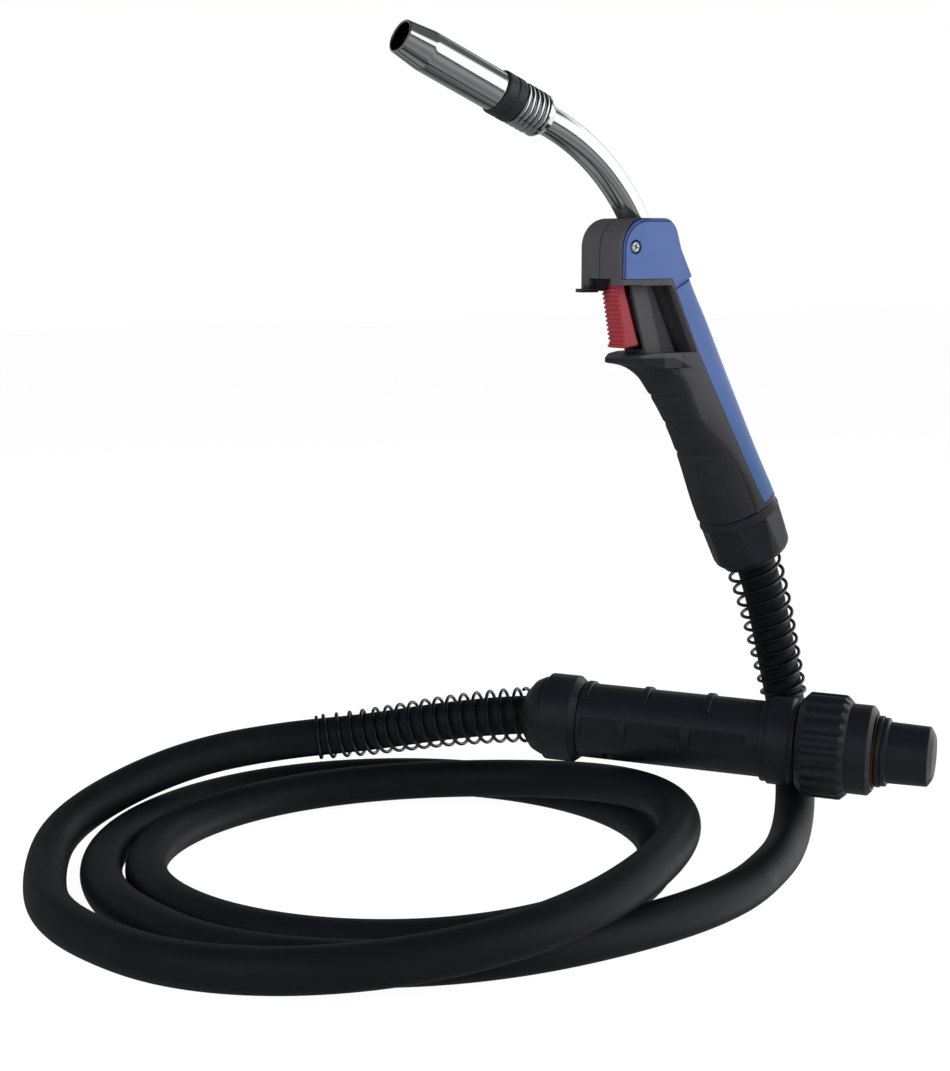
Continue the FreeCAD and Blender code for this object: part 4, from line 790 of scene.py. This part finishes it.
class TORCH_OT_neck(bpy.types.Operator):
    """Turns the plated neck, its cone collar and the nozzle spring."""
    bl_idname = "torch.neck"
    bl_label = "Swan neck"

    def execute(self, context):
        r = sizes().neck_radius / MM
        end = NECK_STRAIGHT + NECK_BEND_R * NECK_BEND + 7.0
        outside = np.linspace(61.0, end, 72)
        corners = [(r, s) for s in outside] + [(5.05, s) for s in outside[::-1]]
        piece("swan_neck_tube", [turned(corners, HANDLE, 72, neck_axis)], "gun", ["swan_neck"], "polished_metal")
        piece("cone_collar", [turned([(6.75, 2.4), (7.1, 2.4), (9.8, 6.0, 0.4), (9.8, 7.0), (6.75, 7.0)], NOZZLE)],
              "gun", ["neck_collar"], "polished_metal")
        start, stop, wire = 7 + 1.25, 20.3 - 1.25, 2.35
        line = NOZZLE(np.linspace((0, 0, start), (0, 0, stop), 40))
        spring = coiled_wire(line, 0.0, (stop - start) * MM, (0.0088, 0.0088), 4.4, wire * MM, 40, 0.3)
        piece("nozzle_grip_spring", [spring], "gun", ["nozzle_spring"], "polished_metal")
        return {"FINISHED"}


class TORCH_OT_nozzle(bpy.types.Operator):
    """Turns the gas nozzle and the insulating ring behind it."""
    bl_idname = "torch.nozzle"
    bl_label = "Gas nozzle"

    def execute(self, context):
        r, mouth = sizes().nozzle_radius / MM, sizes().mouth_radius / MM
        back, taper, tip = 24.55, 69.05, 82.55
        piece("nozzle_shell", [turned([
            (6.9, back), (8.2, back, 0.3), (8.2, 30.85), (r, 30.85, 0.35), (r, taper, 14.0), (mouth, tip, 0.45),
            (mouth - 1.1, tip, 0.45), (r - 1.1, taper, 8.0), (r - 1.1, 40.0), (6.9, 38.0)], NOZZLE, 128)],
            "gas_nozzle", ["gas_nozzle"], "polished_metal")
        piece("insulating_ring", [turned([
            (6.65, 20.35), (10.0, 20.35, 0.6), (10.0, 24.4, 0.2), (9.6, 24.8, 0.2), (9.6, 25.8, 0.2), (10.0, 26.2, 0.2),
            (10.0, 30.55, 0.9), (8.35, 30.55), (8.35, 23.85), (6.65, 23.85)], NOZZLE, 96)],
            "gun", ["insulator_ring"], "insulator")
        return {"FINISHED"}


# Handle

def cubic(x, y, at):
    """Natural cubic through the rows of a table, solved for its second derivatives in one linear system."""
    h = np.diff(x)
    n = len(x)
    system = np.eye(n)
    inner = np.arange(1, n - 1)
    system[inner, inner - 1], system[inner, inner], system[inner, inner + 1] = h[:-1], 2 * (h[:-1] + h[1:]), h[1:]
    right = np.zeros_like(y)
    slope = np.diff(y, axis=0) / h[:, None]
    right[1:-1] = 6 * np.diff(slope, axis=0)
    m = np.linalg.solve(system, right)
    at = np.asarray(at, float)
    k = np.clip(np.searchsorted(x, at) - 1, 0, n - 2)
    d, width = (at - x[k])[..., None], h[k][..., None]
    a, b = 1 - d / width, d / width
    return a * y[k] + b * y[k + 1] + ((a ** 3 - a) * m[k] + (b ** 3 - b) * m[k + 1]) * width ** 2 / 6


def skin(angle, t, inset=0.0):
    """Point of the handle's skin, n to the front and y across: a superellipse that follows ENVELOPE along t."""
    front, back, half, square = np.moveaxis(cubic(ENVELOPE[:, 0], ENVELOPE[:, 1:], t), -1, 0)
    c, s = np.cos(angle), np.sin(angle)
    deep, wide = np.where(c > 0, front, back) - inset, half - inset
    reach = (np.abs(c / deep) ** square + np.abs(s / wide) ** square) ** (-1 / square)
    return c * reach, s * reach


def edge_angle(depth, t):
    """Angle at which the skin lies as far to the front as asked, by halving."""
    low, high = np.zeros_like(t), np.full_like(t, math.pi)
    for _ in range(40):
        middle = (low + high) / 2
        further = skin(middle, t)[0] > depth
        low, high = np.where(further, middle, low), np.where(further, high, middle)
    return (low + high) / 2


def eased_rim(outer, inner, radius):
    """Draws a sheet's border in towards its inner sheet in a quarter round."""
    def away(axis):
        """Way from the sheet's first border, along one of its directions."""
        steps = np.diff(outer, axis=axis, prepend=np.take(outer, [0], axis))
        return np.cumsum(np.linalg.norm(steps, axis=-1), axis)

    u, v = away(1), away(0)
    near = np.minimum(np.minimum(u, u[:, -1:] - u), np.minimum(v, v[-1:] - v))
    short = np.clip(radius - near, 0, radius)
    sink = radius - np.sqrt(radius ** 2 - short ** 2)
    return outer + unit(inner - outer) * sink[..., None]


def packed(count, crowd=0.12):
    """Places from 0 to 1 that crowd towards both ends."""
    f = np.linspace(0, 1, count)
    return f - crowd * np.sin(TAU * f) / TAU * 6


class TORCH_OT_grip(bpy.types.Operator):
    """Moulds the soft front of the grip, with its creases."""
    bl_idname = "torch.grip"
    bl_label = "Soft grip"

    def execute(self, context):
        depth = sizes().crease_depth / MM
        across, along = packed(97)[None, :] * 2 - 1, packed(140)[:, None]
        side = lambda t: edge_angle(cubic(GRIP_SIDE[:, 0], GRIP_SIDE[:, 1:], t)[..., 0] + SEAM, t)
        top = np.full(across.shape, 40.0)
        for _ in range(8):
            n = skin(across * side(top), top)[0]
            top = (GUARD_UNDER - SEAM + math.sin(LEAN) * n) / math.cos(LEAN)
        t = GRIP_FOOT + along * (top - GRIP_FOOT)
        angle = across * side(t)
        crease = sum(np.exp(-((t - at - 2.2 * np.cos(angle * 1.3)) / 1.1) ** 2) for at in CREASES)
        crease = crease * np.clip(1.5 - 1.45 * np.abs(across), 0, 1) ** 0.7
        below = np.clip(1 - (top - t) / 10.0, 0, 1)
        flare = (1 - np.sqrt(1 - below ** 2))[..., None]
        x, y, z = (np.interp(np.abs(across[0]), GUARD_RIM[:, 0], GUARD_RIM[:, k]) for k in (1, 2, 3))
        rim = GUN(np.stack([x, y * np.sign(across[0]), z], -1))
        sheets = []
        for inset, groove in ((0.0, depth), (GRIP_WALL - 0.05, 0.0)):
            n, y = skin(angle, t, inset + crease * groove)
            sheets.append(HANDLE(np.stack([-n, y, np.broadcast_to(t, n.shape)], -1)))
            sheets[-1] = sheets[-1] + (rim - sheets[-1][-1]) * flare * (1 if groove else 0.7)
        outer = eased_rim(sheets[0], sheets[1], 0.0003)
        piece("soft_grip", [walled(outer, sheets[1])], "gun", ["front_grip"], "soft_black", sharp=50)
        return {"FINISHED"}


class TORCH_OT_end_nut(bpy.types.Operator):
    """Turns the faceted nut at the grip's foot."""
    bl_idname = "torch.end_nut"
    bl_label = "End nut"

    def execute(self, context):
        back, foot, level = -43.3, -69.7, 18.3

        def flats(r, a, s):
            """Eight flats below the chamfer band: r is held under the softened least of itself and level / cos."""
            off = (a - TAU / 16) % (TAU / 8)
            off = np.minimum(off, TAU / 8 - off)
            flat = level / np.cos(off) + np.clip((s - (back - 4.0)) / 0.25, 0, 1) * 4
            return np.where(r > 15.0, (r ** -200.0 + flat ** -200.0) ** (-1 / 200.0), r)

        side = [(19.7 - 1.0 * f, back - 4.0 + (foot - back + 4.0) * f) for f in np.linspace(0.01, 0.8, 46)]
        corners = [(14.15, back), (18.4, back, 0.2), (19.7, back - 3.9, 0.08)] + side + [
            (18.7, foot, 4.4), (10.0, foot, 0.6), (10.0, back - 10.3), (14.15, back - 10.3)]
        piece("faceted_end_nut", [turned(corners, HANDLE, 320, shape=flats)], "gun", ["end_nut"], "black_plastic",
              moulded("nut_moulding", colours().nut, 0.4, gloss=0.22), sharp=40)
        return {"FINISHED"}


class TORCH_OT_handle(bpy.types.Operator):
    """Finishes the moulded shells, the blue covers and the head's screw."""
    bl_idname = "torch.handle"
    bl_label = "Handle"

    def execute(self, context):
        edge = sizes().edge
        dressed("handle_shell_left", "gun", "black_plastic", edge, cuts=FOOT_CUTS)
        dressed("handle_shell_right", "gun", "black_plastic", edge)
        # A dark sheet put in the head's slot as painted shade, which hides the view through the slot.
        middle = [SLOT_SHADE_MIDDLE] * len(SLOT_SHADE_OUTLINE)
        wall = [[(x, *place) for place in ring]
                for x, ring in zip(np.repeat(SLOT_SHADE_FACES_X, 2), (middle, SLOT_SHADE_OUTLINE, SLOT_SHADE_OUTLINE, middle))]
        piece("slot_shade_sheet", [grid(GUN(wall), False, True)], "gun", ["handle_shell_left", "handle_shell_right"],
              "black_plastic", moulded("slot_shadow", shade(colours().black, 0.12), 0.5))
        dressed("head_cover", "gun", "blue_plastic", 0.0007)
        dressed("spine_cover", "gun", "blue_plastic", edge)
        for node in ("head_screw", "head_screw_nut", "trigger_pin"):
            dressed(node, "gun", "bright_steel", 0.0001)
        return {"FINISHED"}


class TORCH_OT_trigger(bpy.types.Operator):
    """Finishes the ridged trigger, its spring and the switch behind it."""
    bl_idname = "torch.trigger"
    bl_label = "Trigger"

    def execute(self, context):
        ridges, half, hub_x, hub_z, hub_r = 14, 6.0, -56.0, 70.6, 3.9
        low, high = 40.1, 69.6 - 1.2
        pitch = (high - low) / ridges
        stops = np.array([0, 0.06, 0.14, 0.36, 0.5, 0.58, 0.66, 0.98])
        comb = (low + pitch * (np.arange(ridges)[:, None] + stops)).ravel()
        z = np.concatenate([[38.4, 38.4, 38.55, 38.8, 39.3, 39.9], comb, [68.9, 69.5],
                            hub_z + hub_r * np.sin(np.linspace(-0.1, math.pi / 2, 12))])
        deep = hub_r * np.sqrt(np.clip(1 - ((z - hub_z) / hub_r) ** 2, 0, 1))
        front = np.interp(z, [38.4, 69.0, 90], [-54.4, -59.9, -59.9])
        back = np.interp(z, [38.4, 39.6, 66.0, 67.4, 90], [-46.2, -46.4, -54.8, -54.6, -60])
        front = np.where(z > hub_z, hub_x - deep, front)
        back = np.where(z > 67.3, hub_x + deep, back)
        cut = np.interp((z - low) / pitch % 1.0, stops, [0.35, 0.1, 0, 0, 0.1, 0.4, 0.95, 0.95])
        front = front + np.where((z >= low) & (z <= high), cut * 0.9, 0)
        front[:6] -= np.array([-0.3, -0.3, 0.4, 0.8, 0.95, 0.7])
        inset = np.array([1.0, 0.9, 0.35, 0.1] + [0.0] * (len(z) - 4))
        a = (np.linspace(0, math.pi / 2, 6) + np.arange(4)[:, None] * (math.pi / 2)).ravel()
        side_x, side_y = np.repeat([1, -1, -1, 1], 6), np.repeat([1, 1, -1, -1], 6)
        wide, mid = (back - front) / 2, (back + front) / 2
        r = np.minimum(0.7, wide * 0.8)
        size_x, size_y = (wide - r - inset)[:, None], (half - r - inset)[:, None]
        x = mid[:, None] + side_x * size_x + np.cos(a) * r[:, None]
        y = side_y * size_y + np.sin(a) * r[:, None]
        height = z[:, None] + (x - front[:, None]) * np.interp(z, [38.4, 45.0], [0.14, 0.0])[:, None]
        body = np.stack([x, y, height], -1)
        ends = [np.broadcast_to(body[k].mean(0), body[k].shape) for k in (0, -1)]
        body = np.concatenate([ends[0][None], body, ends[1][None]])
        piece("ridged_trigger", [grid(GUN(body), False, True)], "trigger", ["trigger"], "red_plastic", sharp=35)
        dressed("trigger_spring", "gun", "spring_steel")
        dressed("microswitch", "gun", "switch_plastic", 0.0002)
        dressed("switch_plunger", "switch_plunger", "switch_plastic")
        dressed("switch_leads", "gun", "switch_plastic")
        return {"FINISHED"}


# Plug


class TORCH_OT_housing(bpy.types.Operator):
    """Finishes the plug's collar, housing and flange."""
    bl_idname = "torch.housing"
    bl_label = "Plug housing"

    def execute(self, context):
        piece("rear_collar_ring", [turned([
            (9.9, 0), (12.1, 0, 0.5), (17.1, 4.0, 4.0), (19.3, 8.6, 2.0), (19.3, 10.8), (21.3, 10.8, 1.0),
            (21.3, 25.0, 1.2), (18.7, 28.4, 0.5), (16.15, 28.4), (16.15, 9.0), (9.9, 9.0)], PLUG, 128)],
            "gun", ["rear_collar"], "plug_plastic")
        for node in ("housing_upper", "housing_lower"):
            dressed(node, "gun", "plug_plastic", 0.00045)
        dressed("case_screws", "gun", "bright_steel", 0.0001)
        start, end = 118.05, 134.6
        piece("housing_flange_ring", [turned([
            (14.45, start), (20.0, start, 0.5), (20.0, start + 3.2, 0.15), (21.0, start + 3.2, 0.4),
            (21.0, end - 3.0, 0.6), (20.0, end - 1.6, 0.3), (20.0, end, 0.4), (14.45, end)], PLUG, 128)],
            "gun", ["housing_flange"], "plug_plastic")
        return {"FINISHED"}


class TORCH_OT_adaptor(bpy.types.Operator):
    """Turns the ribbed clamping nut, its brass insert and the cap over the plug's face."""
    bl_idname = "torch.adaptor"
    bl_label = "Adaptor"

    def execute(self, context):
        ribs, start = sizes().nut_ribs, 135.4
        step, end = start + 23.4, start + 35.2
        pitch = TAU / ribs

        def grooved(r, a, s):
            """Grooves between the ribs: r is held under R - d sqrt(1 - (off / w)^2) near each groove's middle."""
            off = (a + pitch / 2) % pitch - pitch / 2
            hollow = np.sqrt(np.clip(1 - (off / (0.3 * pitch)) ** 2, 0, 1))
            floor = 24.9 - 1.15 * hollow
            ribbed = (s < step - 1.2) & (hollow > 0)
            return np.where(ribbed & (r > 20), np.minimum(r, floor), r * np.ones_like(a))

        piece("clamping_nut", [turned([
            (14.8, start), (21.2, start, 0.3), (24.9, start + 3.6, 0.8), (24.9, step - 3.0, 0.6),
            (22.2, step, 0.3), (21.3, step, 0.2), (21.3, end - 2.0, 0.5), (19.0, end, 0.3), (17.6, end),
            (17.6, start + 3), (14.8, start + 3)],
            PLUG, ribs * 14, shape=grooved)], "adaptor_nut", ["adaptor_nut"], "plug_plastic", sharp=38)
        piece("brass_insert", [turned([(15.9, 146.3), (17.2, 146.3), (17.2, end + 1.0, 0.4), (15.9, end + 1.0, 0.3)],
                                      PLUG, 128)], "adaptor_nut", ["nut_insert"], "copper_alloy")
        cap, tip = 174.4, 198.3
        piece("nose_cap", [turned([
            (0, tip), (0, tip - 4.0), (12.75, tip - 4.0, 1.0), (12.75, cap), (16.2, cap, 0.5), (16.2, cap + 2.4, 0.8),
            (14.5, cap + 2.8, 0.3), (14.1, tip - 2.6, 1.0), (10.0, tip, 6.0)][::-1],
            PLUG, 128)], "protective_cap", ["protective_cap"], "plug_plastic")
        piece("plug_face_rim", [turned([
            (14.5, 172.2), (16.9, 172.2, 0.3), (16.9, 174.2, 0.5), (14.5, 174.2)], PLUG, 128)],
            "gun", ["plug_face"], "plug_plastic")
        dressed("plug_face", "gun", "plug_plastic", 0.0002)
        for node, body in (("plug_body", "gun"), ("plug_pin", "gun"), ("signal_pin_a", "signal_pin_a"),
                           ("signal_pin_b", "signal_pin_b"), ("cable_crimp", "gun")):
            dressed(node, body, "copper_alloy")
        return {"FINISHED"}


class TORCH_OT_inside(bpy.types.Operator):
    """Finishes the current path, the liner and the nozzle's inner pieces."""
    bl_idname = "torch.inside"
    bl_label = "Inner pieces"

    def execute(self, context):
        burnt = machined("burnt_copper", colours().copper, 0.45)
        for node in ("gas_diffuser", "tip_holder", "contact_tip"):
            dressed(node, "gun", "copper_alloy", paint=burnt)
        for node in ("neck_conductor", "neck_nut", "cable_connector"):
            dressed(node, "gun", "copper_alloy")
        dressed("wire_liner", "gun", "liner")
        return {"FINISHED"}


# Stage

def lamp(name, place, target, size, power):
    """Soft square lamp that lights the torch and isn't seen in its plating."""
    light = bpy.data.lights.new(name, "AREA")
    light.energy, light.shape, light.size = power, "SQUARE", size
    obj = bpy.data.objects.new(name, light)
    obj.location = place
    obj.rotation_euler = (Vector(target) - Vector(place)).to_track_quat("-Z", "Y").to_euler()
    obj.visible_glossy = False
    bpy.context.scene.collection.objects.link(obj)


class TORCH_OT_stage(bpy.types.Operator):
    """Lays the pale floor and sets the soft lamps, the sky and the camera."""
    bl_idname = "torch.stage"
    bl_label = "Stage"

    def execute(self, context):
        scene = bpy.context.scene
        scene.view_settings.view_transform = "Standard"
        mesh = bpy.data.meshes.new("floor")
        reach = 6.0
        corners = [(-reach, -reach, FLOOR), (reach, -reach, FLOOR), (reach, reach, FLOOR), (-reach, reach, FLOOR)]
        mesh.from_pydata(corners, [], [(0, 1, 2, 3)])
        floor = bpy.data.objects.new("floor", mesh)
        scene.collection.objects.link(floor)
        p = new_paint("pale_floor")
        plain = p.node("ShaderNodeBsdfDiffuse", values={"Color": (0.85, 0.85, 0.85, 1)})
        glow = p.node("ShaderNodeEmission", values={"Color": (1, 1, 1, 1), "Strength": 1.12})
        seen = p.node("ShaderNodeLightPath", out="Is Camera Ray")
        both = p.node("ShaderNodeMixShader", values={0: seen * 0.86, 1: plain, 2: glow})
        p.node("ShaderNodeOutputMaterial", values={"Surface": both})
        mesh.materials.append(p.owner)
        floor.visible_glossy = False

        world = bpy.data.worlds.new("studio")
        scene.world = world
        w = Paint(world)
        side = w.node("ShaderNodeVectorMath", {"operation": "DOT_PRODUCT"},
                      {0: w.place("Generated"), 1: (0.94, -0.27, 0.21)}, out=1)
        height = w.node("ShaderNodeSeparateXYZ", values={0: w.place("Generated")}, out=2)
        sky = w.ramp(side * 0.5 + 0.5, (0.0, 0.08), (0.2, 0.13), (0.3, 0.2), (0.4, 0.06), (0.48, 0.19), (0.6, 0.13),
                     (0.72, 0.26), (0.79, 0.13), (0.805, 0.005), (0.825, 0.005), (0.835, 1.0), (1.0, 1.0))
        sky = sky * w.ramp(height * 0.5 + 0.5, (0.75, 1.0), (0.79, 0.08))
        soft = w.node("ShaderNodeBackground", values={"Color": sky, "Strength": 1.35})
        white = w.node("ShaderNodeBackground", values={"Color": (1, 1, 1, 1), "Strength": 1.0})
        seen = w.node("ShaderNodeLightPath", out="Is Camera Ray")
        both = w.node("ShaderNodeMixShader", values={0: seen, 1: soft, 2: white})
        w.node("ShaderNodeOutputWorld", values={"Surface": both})

        middle = (-0.08, 0.0, 0.0)
        for name, place, size, power in (
                ("left_lamp", (-1.4, -0.35, 0.45), 1.0, 23.0), ("right_fill", (0.6, -1.2, 0.55), 0.9, 13.5),
                ("top_lamp", (-0.1, -0.3, 1.6), 1.6, 1.5), ("back_lamp", (0.4, 1.5, 0.7), 1.2, 9.0)):
            lamp(name, place, middle, size, power)

        camera = bpy.data.cameras.new("camera")
        camera.lens, camera.sensor_width, camera.clip_end = 67.23, 36.0, 50.0
        obj = bpy.data.objects.new("camera", camera)
        tilt = math.radians(8.264)
        ahead = Vector((0.5446 * math.cos(tilt), 0.8387 * math.cos(tilt), -math.sin(tilt)))
        obj.location = (-0.606, -0.731, 0.085)
        obj.rotation_euler = ahead.to_track_quat("-Z", "Y").to_euler()
        scene.collection.objects.link(obj)
        scene.camera = obj
        return {"FINISHED"}


OPERATORS = (
    TORCH_OT_kink_springs, TORCH_OT_neck, TORCH_OT_nozzle, TORCH_OT_grip,
    TORCH_OT_end_nut, TORCH_OT_handle, TORCH_OT_trigger, TORCH_OT_housing,
    TORCH_OT_adaptor, TORCH_OT_inside, TORCH_OT_cable, TORCH_OT_stage,
)


class TORCH_PT_panel(bpy.types.Panel):
    """Lists the torch's pieces, sizes and colours"""
    bl_idname = "TORCH_PT_panel"
    bl_label = "Welding torch"
    bl_space_type = "VIEW_3D"
    bl_region_type = "UI"
    bl_category = "Torch"

    def draw(self, context):
        for group in (context.scene.torch_sizes, context.scene.torch_colours):
            column = self.layout.column(align=True)
            for name in group.bl_rna.properties.keys():
                if name not in ("rna_type", "name"):
                    column.prop(group, name)
        for c in OPERATORS:
            self.layout.operator(c.bl_idname)


CLASSES = (TorchSizes, TorchColours) + OPERATORS + (TORCH_PT_panel,)


def register():
    for c in CLASSES:
        bpy.utils.register_class(c)
    bpy.types.Scene.torch_sizes = PointerProperty(type=TorchSizes)
    bpy.types.Scene.torch_colours = PointerProperty(type=TorchColours)


def unregister():
    del bpy.types.Scene.torch_sizes, bpy.types.Scene.torch_colours
    for c in reversed(CLASSES):
        bpy.utils.unregister_class(c)


def main():
    register()
    for c in OPERATORS:
        getattr(bpy.ops.torch, c.bl_idname.split(".")[1])()


if __name__ == "__main__":
    main()
